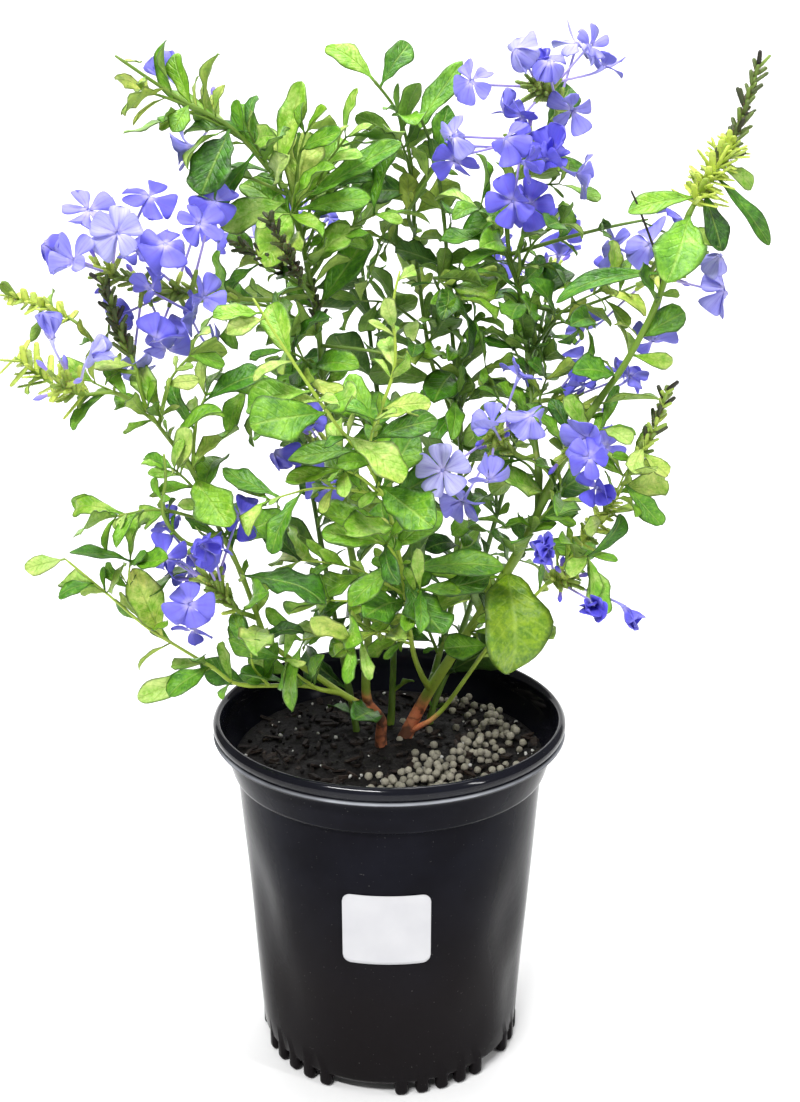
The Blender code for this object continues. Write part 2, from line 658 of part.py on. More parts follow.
def place_buds(space, name, head):
    """Closed buds and green calyces round the stalk of a head."""
    draw = random.Random("buds " + name)
    stalk = head[0].points
    for index in range(HEADS[name]["buds"]):
        root, axis = along(stalk, 0.45 + 0.55 * (index + 1) / HEADS[name]["buds"])
        for attempt in range(8):
            around = Matrix.Rotation(math.radians(index * GOLDEN + 40 * attempt), 3, axis)
            out = (axis * draw.uniform(0.5, 1.1) + around @ across(axis, UP)).normalized()
            bud = Bud(root, out, draw.uniform(11, 16), 0.9)
            room = space.shape(cone_mesh(root + out * 5, root + out * bud.length, 1.6, 1.6), name)
            if space.free(room):
                space.add(room)
                head[2].append(bud)
                break


def place_spikes(space, name, stem):
    """Spent calyces up the last fifth of a stem that has flowered."""
    spec = STEMS[name]
    draw = random.Random("spike " + name)
    for index in range(spec["spike"]):
        share = 0.86 + 0.14 * (index + 1) / spec["spike"]
        root, axis = along(stem[0][0].points, share)
        around = Matrix.Rotation(math.radians(index * GOLDEN), 3, axis)
        out = (axis * 1.1 + around @ across(axis, UP)).normalized()
        bud = Bud(root, out, draw.uniform(7, 9.5) * (1.15 - 0.3 * (share - 0.86) / 0.14), 1.3)
        room = space.shape(cone_mesh(root + out * 2, root + out * bud.length, 1.8, 1.8), name)
        if space.free(room, skip=name):
            space.add(room)
            stem[2].append(bud)


# Making the objects


def clear_scene():
    for obj in list(bpy.data.objects):
        bpy.data.objects.remove(obj)


def finish_material(name, colour, roughness):
    material = bpy.data.materials.new(name)
    material.use_nodes = True
    shader = material.node_tree.nodes["Principled BSDF"]
    shader.inputs["Base Color"].default_value = (*colour, 1.0)
    shader.inputs["Roughness"].default_value = roughness
    shader.inputs["Metallic"].default_value = 0.0
    return material


def new_object(name, bm, collection):
    """An object in metres from a bmesh in millimetres."""
    bmesh.ops.transform(bm, matrix=Matrix.Scale(MM, 4), verts=bm.verts[:])
    mesh = bpy.data.meshes.new(name)
    bm.to_mesh(mesh)
    bm.free()
    made = bpy.data.objects.new(name, mesh)
    collection.objects.link(made)
    return made


def keep_main_shell(mesh):
    """Drops the loose scraps and sealed hollows that joining can leave, which are the smaller shells."""
    bm = bmesh.new()
    bm.from_mesh(mesh)
    left = set(bm.verts)
    shells = []
    while left:
        shell, edge = set(), [left.pop()]
        while edge:
            vert = edge.pop()
            shell.add(vert)
            near = {link.other_vert(vert) for link in vert.link_edges} & left
            left -= near
            edge += near
        shells.append(shell)
    for shell in sorted(shells, key=len)[:-1]:
        bmesh.ops.delete(bm, geom=list(shell), context="VERTS")
    bm.to_mesh(mesh)
    bm.free()


def combine(base, pieces, operation):
    """Joins the pieces to the base, or cuts them from it, in one Boolean, and removes them."""
    helpers = bpy.data.collections.new("helpers")
    bpy.context.scene.collection.children.link(helpers)
    made = [new_object("piece", bm, helpers) for bm in pieces]
    boolean = base.modifiers.new("Boolean", "BOOLEAN")
    boolean.operation = operation
    boolean.operand_type = "COLLECTION"
    boolean.collection = helpers
    boolean.solver = "MANIFOLD"
    bpy.context.view_layer.update()
    graph = bpy.context.evaluated_depsgraph_get()
    joined = bpy.data.meshes.new_from_object(base.evaluated_get(graph))
    keep_main_shell(joined)
    base.modifiers.clear()
    old = base.data
    base.data = joined
    bpy.data.meshes.remove(old)
    for piece in made:
        bpy.data.objects.remove(piece)
    bpy.data.collections.remove(helpers)


def turned(name, profile, steps, collection):
    """A solid of revolution from (radius, height) points that start and end on the axis."""
    bm = bmesh.new()
    verts = [bm.verts.new((r, 0, z)) for r, z in profile]
    for a, b in zip(verts, verts[1:]):
        bm.edges.new((a, b))
    made = new_object(name, bm, collection)
    screw = made.modifiers.new("Screw", "SCREW")
    screw.axis = "Z"
    screw.steps = steps
    screw.render_steps = steps
    screw.use_merge_vertices = True
    screw.merge_threshold = 0.0001
    bpy.context.view_layer.update()
    graph = bpy.context.evaluated_depsgraph_get()
    mesh = bpy.data.meshes.new_from_object(made.evaluated_get(graph))
    made.modifiers.clear()
    made.data = mesh
    return made


def wall_radius(z):
    """Outer radius of the pot's plain wall."""
    return BASE_RADIUS + 1 + (STEP_RADIUS - BASE_RADIUS - 1) * (z - BASE_HEIGHT) / (STEP_HEIGHT - BASE_HEIGHT)


def collar_radius(z):
    """Inner radius of the pot above its step ring, where it widens to the rim."""
    low, high = STEP_RADIUS - WALL, RIM_RADIUS - RIM_THICK
    return low + (high - low) * (z - STEP_HEIGHT) / (POT_HEIGHT - RIM_DEPTH - STEP_HEIGHT)


def make_pot(collection):
    inner_floor = FLOOR_UNDERSIDE + FLOOR
    inside = [
        (0, inner_floor), (wall_radius(inner_floor) - WALL, inner_floor), (STEP_RADIUS - WALL, STEP_HEIGHT),
        (RIM_RADIUS - RIM_THICK, POT_HEIGHT - RIM_DEPTH),
    ]
    rim = [(RIM_RADIUS - inset, POT_HEIGHT - drop) for inset, drop in RIM_BEAD]
    outside = [
        (STEP_RADIUS + 2.4, STEP_HEIGHT + 2), (STEP_RADIUS, STEP_HEIGHT), (BASE_RADIUS + 1, BASE_HEIGHT),
        (BASE_RADIUS, FLOOR_UNDERSIDE), (FOOT_RADIUS + 2, FLOOR_UNDERSIDE), (FOOT_RADIUS, 0), (0, 0),
    ]
    pot = turned("pot", inside + rim + outside, POT_STEPS, collection)
    lugs = []
    for middle in LUG_GROUPS:
        for index in range(LUGS_A_GROUP):
            turn = math.radians(middle + (index - (LUGS_A_GROUP - 1) / 2) * LUG_PITCH - 90)
            bm = bmesh.new()
            bmesh.ops.create_cube(bm, size=1.0)
            size = Matrix.Diagonal((LUG_SIZE[1], LUG_SIZE[0], LUG_SIZE[2], 1))
            place = Matrix.Rotation(turn, 4, "Z") @ Matrix.Translation((LUG_RING, 0, LUG_SIZE[2] / 2))
            bmesh.ops.transform(bm, matrix=place @ size, verts=bm.verts[:])
            lugs.append(bm)
    combine(pot, lugs, "UNION")
    drains = []
    for index in range(DRAIN_HOLES):
        turn = math.radians(index * 360 / DRAIN_HOLES + 15)
        place = Vector((DRAIN_RING * math.cos(turn), DRAIN_RING * math.sin(turn), 0))
        drains.append(cone_mesh(place + UP * 3, place + UP * 12, DRAIN_RADIUS, DRAIN_RADIUS, 8))
    combine(pot, drains, "DIFFERENCE")
    return pot


def make_label(collection):
    """A blank sticker with round corners that follows the pot's wall."""
    columns = (-1.0, -0.96, -0.86, -0.8, -0.4, 0.0, 0.4, 0.8, 0.86, 0.96, 1.0)
    bm = bmesh.new()
    bmesh.ops.create_grid(bm, x_segments=len(columns) - 1, y_segments=1, size=1.0)
    for vert in bm.verts:
        column = columns[round((vert.co.x + 1) / 2 * (len(columns) - 1))]
        run = column * LABEL_WIDTH / 2
        into = max(abs(run) - (LABEL_WIDTH / 2 - LABEL_CORNER), 0)
        half = LABEL_HEIGHT / 2 - LABEL_CORNER + math.sqrt(LABEL_CORNER ** 2 - into ** 2)
        z = LABEL_MIDDLE[1] + half * vert.co.y
        radius = wall_radius(z) + CLEAR + LABEL_THICK / 2
        turn = (LABEL_MIDDLE[0] + run) / radius - math.pi / 2
        vert.co = (radius * math.cos(turn), radius * math.sin(turn), z)
    return new_object("label", thickened(bm, LABEL_THICK), collection)


def prill_places():
    """Fertiliser prills: a heap behind the front rim that thins out towards the right."""
    draw = random.Random("prills")
    places = []
    while len(places) < HEAP_PRILLS:
        share = draw.random() ** 1.35
        turn = math.radians(-88 + share * 78)
        ring = draw.uniform(50 + 6 * share, 69 - 2 * share)
        place = Vector((ring * math.cos(turn), ring * math.sin(turn), 0))
        if all((place - other).length > PRILL_GAP for other in places):
            places.append(place)
    while len(places) < HEAP_PRILLS + LOOSE_PRILLS:
        place = Vector((draw.uniform(26, 50), draw.uniform(-8, 26), 0))
        if all((place - other).length > PRILL_GAP for other in places):
            places.append(place)
    return places


def soil_height(ring):
    """Height of the mix's low dome at this distance from its middle."""
    return SOIL_TOP + SOIL_DOME - (SOIL_DOME + 1.0) * (ring / STEP_RADIUS) ** 2


def make_soil(collection):
    floor = FLOOR_UNDERSIDE + FLOOR + CLEAR
    facet = math.cos(math.pi / POT_STEPS)  # the pot's inner wall is this much nearer at its flats
    inner = (STEP_RADIUS - WALL) * facet - CLEAR
    bottom = (wall_radius(floor) - WALL) * facet - CLEAR
    brim = collar_radius(SOIL_TOP - 1) * facet - CLEAR
    profile = [(ring, soil_height(ring)) for ring in (0, 40)] + [(brim, SOIL_TOP - 1)]
    profile += [(inner, STEP_HEIGHT), (bottom, floor), (0, floor)]
    soil = turned("soil", profile, SOIL_STEPS, collection)
    bits = []
    for place in prill_places():
        bm = bmesh.new()
        bmesh.ops.create_uvsphere(bm, u_segments=4, v_segments=2, radius=PRILL_RADIUS)
        bmesh.ops.translate(bm, vec=(place.x, place.y, soil_height(place.length) + 1.0), verts=bm.verts[:])
        bits.append(bm)
    combine(soil, bits, "UNION")
    holes = []
    for name, spec in STEMS.items():
        if spec["parent"] is None:
            x, y, _ = spec["route"][0]
            radius = (spec["radii"][0] + CLEAR + 0.25) / math.cos(math.radians(22.5))
            low = Vector((x, y, SOIL_TOP - STEM_DEPTH - CLEAR))
            holes.append(cone_mesh(low, low + UP * (STEM_DEPTH + 20), radius, radius, 8))
    combine(soil, holes, "DIFFERENCE")
    return soil


def make_stem(name, stem, collection):
    tubes, leaves, buds = stem
    base = new_object(name, tube_mesh(name, tubes[0].points, tubes[0].radii, tubes[0].sides), collection)
    pieces = [tube_mesh(name, t.points, t.radii, t.sides) for t in tubes[1:]]
    pieces += [blade_mesh(leaf, leaf.stations, BLADE) for leaf in leaves]
    pieces += [cone_mesh(b.root, b.root + b.axis * b.length, b.radius, b.radius) for b in buds]
    combine(base, pieces, "UNION")
    return base


def make_head(name, head, collection):
    stalk, florets, buds = head
    base = new_object(name, tube_mesh(name, stalk.points, stalk.radii, stalk.sides), collection)
    pieces = [floret_mesh(floret) for floret in florets]
    pieces += [cone_mesh(b.root, b.root + b.axis * b.length, b.radius, b.radius) for b in buds]
    combine(base, pieces, "UNION")
    return base


def main():
    clear_scene()
    plant = bpy.data.collections.new("potted cape plumbago")
    bpy.context.scene.collection.children.link(plant)
    stems, heads = grow()
    gloss_black = finish_material("pot plastic", (0.012, 0.013, 0.018), 0.25)
    blank_white = finish_material("label paper", (0.9, 0.9, 0.88), 0.5)
    peat = finish_material("potting mix", (0.02, 0.015, 0.012), 0.95)
    leaf_green = finish_material("leaves and stems", (0.10, 0.30, 0.04), 0.45)
    petal_blue = finish_material("petals", (0.28, 0.26, 0.80), 0.6)
    made = [(make_pot(plant), gloss_black), (make_label(plant), blank_white), (make_soil(plant), peat)]
    made += [(make_stem(name, stem, plant), leaf_green) for name, stem in stems.items()]
    made += [(make_head(name, head, plant), petal_blue) for name, head in heads.items()]
    for obj, material in made:
        obj.data.materials.clear()
        obj.data.materials.append(material)
        obj.data.shade_smooth()
        obj.data.set_sharp_from_angle(angle=math.radians(30))


main()
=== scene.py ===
"""The looks of a cape plumbago in a one-gallon nursery pot: the moulded pot, a blank label, peat with
bark, perlite and prills, leafy stems and flower heads, in the frame that the solids share.

The layout of stems, leaves and blossoms is worked out here as it is for the solids, and each of them
is then made finer. Lengths are in millimetres and angles in degrees; MM turns them into metres when an
object is made. +Z is up, the front of the pot faces -Y, and the origin is the middle of its base."""

import json
import math
import random
from collections import namedtuple

import bmesh
import bpy
from mathutils import Matrix, Vector, geometry, noise
from mathutils.bvhtree import BVHTree

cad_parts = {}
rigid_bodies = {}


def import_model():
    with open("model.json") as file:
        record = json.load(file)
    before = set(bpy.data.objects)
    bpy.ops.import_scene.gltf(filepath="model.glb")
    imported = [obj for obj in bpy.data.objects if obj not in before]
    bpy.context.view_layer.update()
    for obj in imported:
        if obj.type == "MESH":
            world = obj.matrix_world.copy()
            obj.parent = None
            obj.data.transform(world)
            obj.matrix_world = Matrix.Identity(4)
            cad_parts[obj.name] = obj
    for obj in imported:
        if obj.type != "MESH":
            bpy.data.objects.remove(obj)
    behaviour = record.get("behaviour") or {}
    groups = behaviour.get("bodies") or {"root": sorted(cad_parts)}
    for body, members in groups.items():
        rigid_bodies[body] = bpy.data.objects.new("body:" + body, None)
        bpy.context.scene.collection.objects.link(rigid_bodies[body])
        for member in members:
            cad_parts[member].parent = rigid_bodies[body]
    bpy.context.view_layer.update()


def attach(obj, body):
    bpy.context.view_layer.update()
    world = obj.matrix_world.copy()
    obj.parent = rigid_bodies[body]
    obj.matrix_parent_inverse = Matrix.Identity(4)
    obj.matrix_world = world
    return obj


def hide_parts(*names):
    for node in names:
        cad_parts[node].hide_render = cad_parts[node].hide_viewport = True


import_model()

MM = 0.001
CLEAR = 0.3  # gap between pieces that touch
UP = Vector((0.0, 0.0, 1.0))
TOWARD_VIEWER = Vector((0.0, -0.92, 0.39))
GOLDEN = 137.5  # the turn from one leaf, bud or gland of a spiral to the next

# The pot
POT_HEIGHT = 168.0
RIM_RADIUS = 82.5
RIM_THICK = 5.6
RIM_DEPTH = 11.0  # how far the thick rim reaches down
# The rim's roll and the thin lip under it: how far each corner lies in from the widest place, and down
RIM_ROLL = ((4.7, 3.5), (2.6, 0), (0.5, 1.5), (0, 3.5), (0.7, 5.7), (1.6, 6.4), (0.7, 6.9), (0, 7.6),
            (0.7, 8.5), (3.6, 8.8), (5.4, 14))
BASE_RADIUS = 61.4
STEP_RADIUS = 71.8  # wall radius under the small step ring
STEP_HEIGHT = 141.5
STEP_RING = ((2.4, 2.4), (1.9, 1.1), (0.7, 0.3))  # how far out of the wall and above its step
COLLAR_BEND = 149.0  # height at which the collar over the step ring has its middle corner
BASE_HEIGHT = 8.5  # where the wall turns in to the base
WALL = 1.2
WALL_PARTS = 14
FLOOR = 1.5
FLOOR_UNDERSIDE = 6.0
FLOOR_RING = 40.0
FOOT_RADIUS = 10.0  # the moulded centre foot
POT_SIDES = 96
# Soft dents in the lower wall: heading, height, depth, and how far they spread round and up
DENTS = ((-152, 84, 3.4, 15, 26), (-138, 44, 2.8, 13, 22), (-122, 66, 1.4, 12, 30), (-34, 74, 3.2, 15, 28),
         (-22, 36, 2.2, 12, 20), (-52, 30, 1.2, 12, 16))
LUG_RING = 60.2
LUG_SIZE = (5.0, 6.2, 11.0)  # radial, across and high, with the soft ripple that goes on up the wall
LUG_ROUND = 2.2
LUG_GROUPS = (-48, 24, 83, 140, 197, 254)  # middle of each group, from the front towards +X
LUGS_A_GROUP = 5
LUG_PITCH = 9.3
DRAIN_HOLES = 6
DRAIN_RING = 44.0
DRAIN_RADIUS = 5.0

# The potting mix
SOIL_TOP = 148.0
SOIL_DOME = 1.5
SOIL_SIDES = 120
SOIL_RINGS = 36
STEM_DEPTH = 30.0  # how far a main stem goes down in its hole
HEAP_PRILLS = 18
LOOSE_PRILLS = 3
PRILL_GAP = 4.2
PRILL_SIZE = 1.9
BED_REACH = 69.0  # how far from the middle a prill may lie
# Heaps of prills: where each lies, how far it spreads, and how many it has
PRILL_HEAPS = ((-2, -46, 7, 12), (13, -39, 8, 46), (26, -25, 7, 18), (38, -11, 7, 18), (49, 0, 6, 14),
               (57, 9, 5, 8), (53, 21, 8, 10), (50, 34, 8, 12), (38, 53, 8, 12), (22, 14, 12, 5))

# The label
LABEL_WIDTH = 40.0
LABEL_HEIGHT = 36.0
LABEL_CORNER = 4.0
LABEL_MIDDLE = (-1.0, 92.0)  # along the wall from the front, and height
LABEL_THICK = 0.2

# Leaves
BLADE = 0.62  # how thick a leaf or a blossom's limb is in the solids
LEAF_THICK = 0.35
MARGIN = 1.0  # how much thicker than the real one a blade is when its room is tested
SLIM = 0.1  # the same for a leaf that only the looks have
LARGE_LEAF = (0.0, 0.34, 0.64, 0.88, 1.0)  # where along its length a leaf has a row of corners
SMALL_LEAF = (0.0, 0.42, 0.8, 1.0)
BLADE_ROWS = (0.0, 0.05, 0.12, 0.2, 0.29, 0.38, 0.47, 0.56, 0.65, 0.73, 0.8, 0.86, 0.91, 0.95, 0.98, 1.0)
SMALL_ROWS = (0.0, 0.12, 0.3, 0.5, 0.7, 0.86, 0.96, 1.0)
LARGE_LENGTH = 29.0  # a placed leaf over this length is one of the large ones
SMALL_LENGTH = 24.0  # leaves under this length have the plainer grid
LEAF_TRIES = 16  # how often a leaf or a blossom is moved before it is left out
PLANT_MIDDLE = Vector((5.0, 24.0, 0.0))

# Stems, side shoots and tufts
SPRIG_RADIUS = 1.25
SPRIG_TAPER = 0.3
SPRIG_SIDES = 4
ROUTE_PARTS = 6  # parts of a smooth route between two of its points
SPIKE_START = 0.86  # where along a stem its spent calyces start
SHOOT_RADII = (1.05, 0.85, 0.65)
SHOOT_PITCH = 11.0
SHOOT_TRIES = 8
TUFT_PITCH = 19.0
SWELLING = 0.28  # how much thicker a stem is at a joint
JOINT_REACH = 2.6
BARK_FADE = 16.0  # height over which bark gives way to green skin

# Flower heads
LIMB_RADIUS = 12.2
LIMB_NOTCH = 0.5  # radius between two petals, as a share of the limb's
PETALS = 5
PETAL_TURN = 72
PETAL_SHOULDER = 25.0
PETAL_THICK = 0.22
PETAL_ROWS = (0.0, 0.2, 0.4, 0.56, 0.7, 0.82, 0.92, 0.98, 1.0)
CALYX_RADIUS = 0.85
CALYX_LENGTH = 10.0
CALYX_RINGS = ((0.0, 0.5), (0.4, 0.8), (3.0, 1.0), (7.0, 0.92), (9.3, 0.8), (10.0, 0.45))  # height, radius
GLANDS = 12
TUBE_RADIUS = 0.9
COROLLA_RADII = (0.62, 0.6, 0.56, 0.54, 0.54, 0.56, 0.62, 0.85, 1.25)
BUD_RADII = (0.62, 0.66, 0.72, 0.9, 1.12, 1.15, 0.8, 0.25)
STALK_RADIUS = 1.4
FLORET_REACH = 30  # from the stalk to a blossom's throat
BUD_TRIES = 8
HALF_OPEN = 9.5  # the petals' length of a blossom that is only half open
FILL_TRIES = 14

# The stage, in metres
FLOOR_WIDTH = 1.9
FLOOR_FRONT = -2.5
FLOOR_BACK = 0.6  # where the floor starts to curve up
FLOOR_CURVE = 0.8
WALL_TOP = 3.0
# Soft lights: name, place, what it is turned to, width, height and power
LIGHTS = (
    ("key light", (-0.6, -1.2, 1.8), (0, 0, 0.25), 1.0, 0.12, 38),
    ("fill light", (1.3, -0.8, 1.0), (0, 0, 0.2), 0.1, 0.8, 8),
    ("top light", (0.2, 0.3, 2.2), (0, 0, 0.1), 0.6, 0.6, 18),
    ("backdrop light", (0.0, 0.35, 1.9), (0, 1.4, 0.6), 1.6, 1.6, 26),
)
DAYLIGHT = 0.24
CAMERA_PLACE = (0.005, -0.690, 0.474)
CAMERA_PITCH = 18.23  # how far it looks down
FOCAL_PIXELS = 1600
PHOTO_HEIGHT = 1102
SENSOR = 36.0

Tube = namedtuple("Tube", "points radii sides")
Stem = namedtuple("Stem", "name tubes leaves buds")
Head = namedtuple("Head", "name stalk florets buds")
Leaf = namedtuple("Leaf", "root axis face length width droop stations")
Floret = namedtuple("Floret", "root throat face turn size")
Bud = namedtuple("Bud", "root axis length")

# Each leafy stem: its parent (None stands in the mix), its radius at the two ends, how many sides it
# has, how many spent calyces stand at its tip, the rule of its leaves (where they start, how far apart
# they are, and their length at the bottom and at the tip), its route from the root end, and its sprigs
STEMS = {
    "stem_tall_right": dict(
        parent=None, radii=(4.2, 1.5), sides=6, spike=9, leaves=(0.36, 27, 40, 20),
        route=[(7, 8, 146), (8, 8, 152), (17, 8, 171), (29, 5, 193), (44, 0, 220), (60, -5, 251),
               (75, -8, 288), (89, -10, 315), (102, -10, 335), (113, -12, 359), (118, -15, 377),
               (125, -15, 399), (136, -10, 416), (143, -5, 426), (154, 5, 457)],
    ),
    "stem_low_right": dict(
        parent="stem_tall_right", radii=(1.5, 1.0), sides=6, spike=7, leaves=(0.3, 28, 26, 14),
        route=[(10, 7, 154), (20, 1, 163), (28, -3, 174), (48, -8, 207), (64, -11, 227), (79, -15, 246),
               (90, -20, 263), (99, -25, 280), (106, -28, 298), (112, -28, 307), (118, -26, 327)],
    ),
    "stem_left": dict(
        parent=None, radii=(3.3, 1.2), sides=6, leaves=(0.3, 27, 42, 24),
        route=[(-4, -2, 146), (-4, -2, 156), (-4, -1, 164), (-10, 1, 172), (-11, 2, 184), (-10, 6, 207),
               (-16, 12, 234), (-20, 18, 256), (-23, 22, 288), (-29, 22, 316), (-32, 20, 349),
               (-37, 15, 380), (-42, 10, 403), (-51, 5, 416), (-65, -5, 433), (-85, -12, 445),
               (-109, -20, 462)],
    ),
    "stem_left_arch": dict(
        parent="stem_left", radii=(1.9, 1.1), sides=6, spike=8, leaves=(0.3, 30, 32, 16),
        route=[(-9, 0, 168), (-22, -10, 181), (-32, -15, 191), (-53, -25, 212), (-59, -32, 232),
               (-65, -38, 253), (-75, -42, 278), (-83, -45, 299), (-99, -45, 323), (-104, -42, 341),
               (-110, -40, 355), (-116, -36, 374)],
        sprigs=[[(-98, -45, 322), (-111, -50, 331), (-124, -52, 331), (-136, -54, 336),
                 (-150, -55, 347)],
                [(-103, -43, 338), (-115, -38, 340), (-126, -32, 354), (-137, -28, 360),
                 (-160, -20, 366)],
                [(-71, -41, 269), (-83, -50, 266), (-93, -55, 280), (-91, -58, 297), (-91, -60, 308)]],
    ),
    "stem_left_low": dict(
        parent="stem_left_arch", radii=(1.6, 1.0), sides=4, leaves=(0.25, 28, 28, 16),
        route=[(-22, -10, 181), (-30, -18, 186), (-40, -22, 190), (-66, -35, 196), (-77, -42, 207),
               (-95, -50, 223), (-104, -53, 231), (-117, -56, 245), (-134, -60, 263)],
    ),
    "stem_front": dict(
        parent="stem_tall_right", radii=(2.0, 1.1), sides=6, leaves=(0.2, 25, 38, 20),
        route=[(19, 7, 176), (15, 0, 186), (11, -5, 200), (8, -15, 226), (5, -25, 251), (0, -38, 278),
               (-9, -50, 302), (-22, -60, 322), (-38, -68, 349), (-52, -70, 373)],
        sprigs=[[(-7, -48, 298), (-4, -50, 320), (3, -50, 343), (2, -48, 365), (5, -45, 380)]],
    ),
    "stem_centre": dict(
        parent="stem_tall_right", radii=(2.0, 1.2), sides=6, leaves=(0.2, 22, 38, 22),
        route=[(19, 8, 175), (22, 15, 184), (30, 30, 212), (33, 45, 252), (34, 55, 291), (30, 58, 331),
               (27, 55, 367), (25, 50, 390), (21, 45, 416), (14, 40, 435)],
    ),
    "stem_centre_top": dict(
        parent="stem_centre", radii=(1.5, 1.1), sides=4, leaves=(0.12, 23, 36, 22),
        route=[(34, 54, 285), (27, 61, 304), (19, 65, 325), (12, 60, 378), (11, 55, 407), (5, 50, 434),
               (-7, 45, 451)],
        sprigs=[[(12, 59, 382), (9, 46, 393), (17, 38, 408), (27, 35, 422)]],
    ),
    "stem_right_upper": dict(
        parent="stem_tall_right", radii=(2.1, 1.3), sides=6, leaves=(0.2, 25, 36, 22),
        route=[(67, -6, 268), (67, 2, 284), (65, 10, 301), (63, 20, 328), (59, 28, 359), (54, 32, 376),
               (53, 34, 398), (59, 32, 417), (71, 28, 434)],
        sprigs=[[(59, 28, 356), (76, 22, 352), (92, 14, 358), (108, 8, 366)],
                [(54, 32, 376), (77, 24, 384), (96, 16, 390), (112, 10, 394)]],
    ),
    "stem_back": dict(
        parent=None, radii=(2.4, 1.2), sides=4, leaves=(0.2, 25, 42, 24),
        route=[(0, 22, 146), (1, 23, 160), (2, 34, 200), (0, 52, 260), (-8, 72, 320), (-14, 84, 370),
               (-18, 88, 408)],
    ),
    "stem_back_left": dict(
        parent=None, radii=(2.2, 1.2), sides=4, leaves=(0.2, 25, 40, 24),
        route=[(-16, 14, 146), (-17, 15, 158), (-26, 32, 200), (-36, 52, 250), (-43, 68, 295),
               (-48, 80, 335), (-50, 86, 360)],
    ),
    "stem_back_right": dict(
        parent=None, radii=(2.2, 1.2), sides=4, leaves=(0.2, 25, 40, 24),
        route=[(20, 24, 146), (21, 25, 158), (36, 40, 195), (52, 58, 245), (64, 72, 290), (72, 84, 325),
               (76, 90, 345)],
    ),
}

# Each flower head: the stem that carries it, how many blossoms stand round it by rule, how many closed
# buds, the route of its stalk, and the middle of each blossom that shows in front
HEADS = {
    "bloom_top": dict(
        stem="stem_right_upper", buds=3,
        route=[(71, 28, 434), (72, 22, 441), (67, 16, 446), (62, 10, 449)],
        blooms=[(52, -8, 464), (40, -12, 456), (62, -4, 452), (74, 4, 446), (80, 22, 466),
                (84, 16, 452)],
    ),
    "bloom_top_front": dict(
        stem="stem_right_upper", buds=3,
        route=[(57, 32, 412), (62, 22, 419), (60, 13, 425), (56, 6, 428)],
        blooms=[(36, -14, 446), (48, -24, 430), (28, -4, 420), (68, -8, 424), (80, 8, 413),
                (52, -12, 404), (66, 2, 404)],
    ),
    "bloom_left": dict(
        stem="stem_left", buds=6,
        route=[(-33, 18, 360), (-52, 5, 360), (-68, -8, 363), (-86, -18, 367), (-106, -25, 373),
               (-118, -30, 378)],
        blooms=[(-118, -48, 404), (-136, -50, 391), (-104, -56, 396), (-96, -34, 408), (-88, -50, 391),
                (-76, -36, 398), (-122, -62, 386), (-70, -20, 404), (-108, -38, 345), (-94, -44, 352),
                (-80, -30, 360), (-117, -22, 356), (-94, -16, 343), (-80, -14, 340)],
    ),
    "bloom_far_left": dict(
        stem="stem_left_arch", buds=4,
        route=[(-124, -52, 331), (-126, -60, 334), (-129, -66, 338)],
        blooms=[(-132, -66, 356), (-116, -74, 350)],
    ),
    "bloom_low_left": dict(
        stem="stem_left_arch", buds=2,
        route=[(-58, -29, 225), (-66, -37, 232), (-72, -41, 241), (-76, -44, 248)],
        blooms=[(-94, -48, 276), (-80, -38, 279), (-64, -34, 272), (-72, -56, 266), (-92, -60, 262),
                (-82, -68, 246), (-84, -50, 220)],
    ),
    "bloom_centre_left": dict(
        stem="stem_left", buds=2,
        route=[(-24, 22, 294), (-30, 14, 292), (-34, 8, 294)],
        blooms=[(-38, 2, 312), (-50, -4, 294), (-28, -8, 280)],
    ),
    "bloom_centre": dict(
        stem="stem_right_upper", buds=5,
        route=[(66, 5, 290), (60, 2, 290), (51, -4, 297), (46, -9, 304)],
        blooms=[(23, -38, 295), (60, -36, 318), (56, -14, 330), (43, -36, 291), (33, -22, 277)],
    ),
    "bloom_right": dict(
        stem="stem_right_upper", buds=3,
        route=[(64, 14, 312), (72, 16, 313), (80, 12, 312), (86, 8, 310)],
        blooms=[(84, -2, 335), (98, 14, 292), (104, 10, 326)],
    ),
    "bloom_right_front": dict(
        stem="stem_tall_right", buds=3,
        route=[(82, -9, 302), (80, -18, 302), (78, -25, 300)],
        blooms=[(84, -34, 308), (89, -32, 286)],
    ),
    "bloom_right_back": dict(
        stem="stem_right_upper", buds=3,
        route=[(108, 8, 366), (115, 10, 369), (124, 12, 372)],
        blooms=[(100, 24, 380), (112, 2, 384), (94, 20, 350), (126, 14, 394), (141, -4, 380),
                (146, 8, 364), (117, 12, 341)],
    ),
    "bloom_low_right": dict(
        stem="stem_low_right", buds=4,
        route=[(71, -13, 236), (74, -20, 240), (78, -26, 242)],
        blooms=[(88, -46, 238), (66, -36, 256), (103, -34, 232)],
    ),
    "bloom_top_left": dict(
        stem="stem_left", buds=2,
        route=[(-67, -6, 434), (-73, 2, 439), (-77, 8, 441)],
        blooms=[(-92, 18, 452), (-84, 14, 424)],
    ),
    "bloom_back_left": dict(
        stem="stem_back_left", more=5, buds=2,
        route=[(-50, 86, 360), (-51, 89, 368), (-53, 92, 376)],
    ),
    "bloom_back_right": dict(
        stem="stem_back_right", more=5, buds=2,
        route=[(76, 90, 345), (77, 93, 352), (78, 96, 360)],
    ),
}

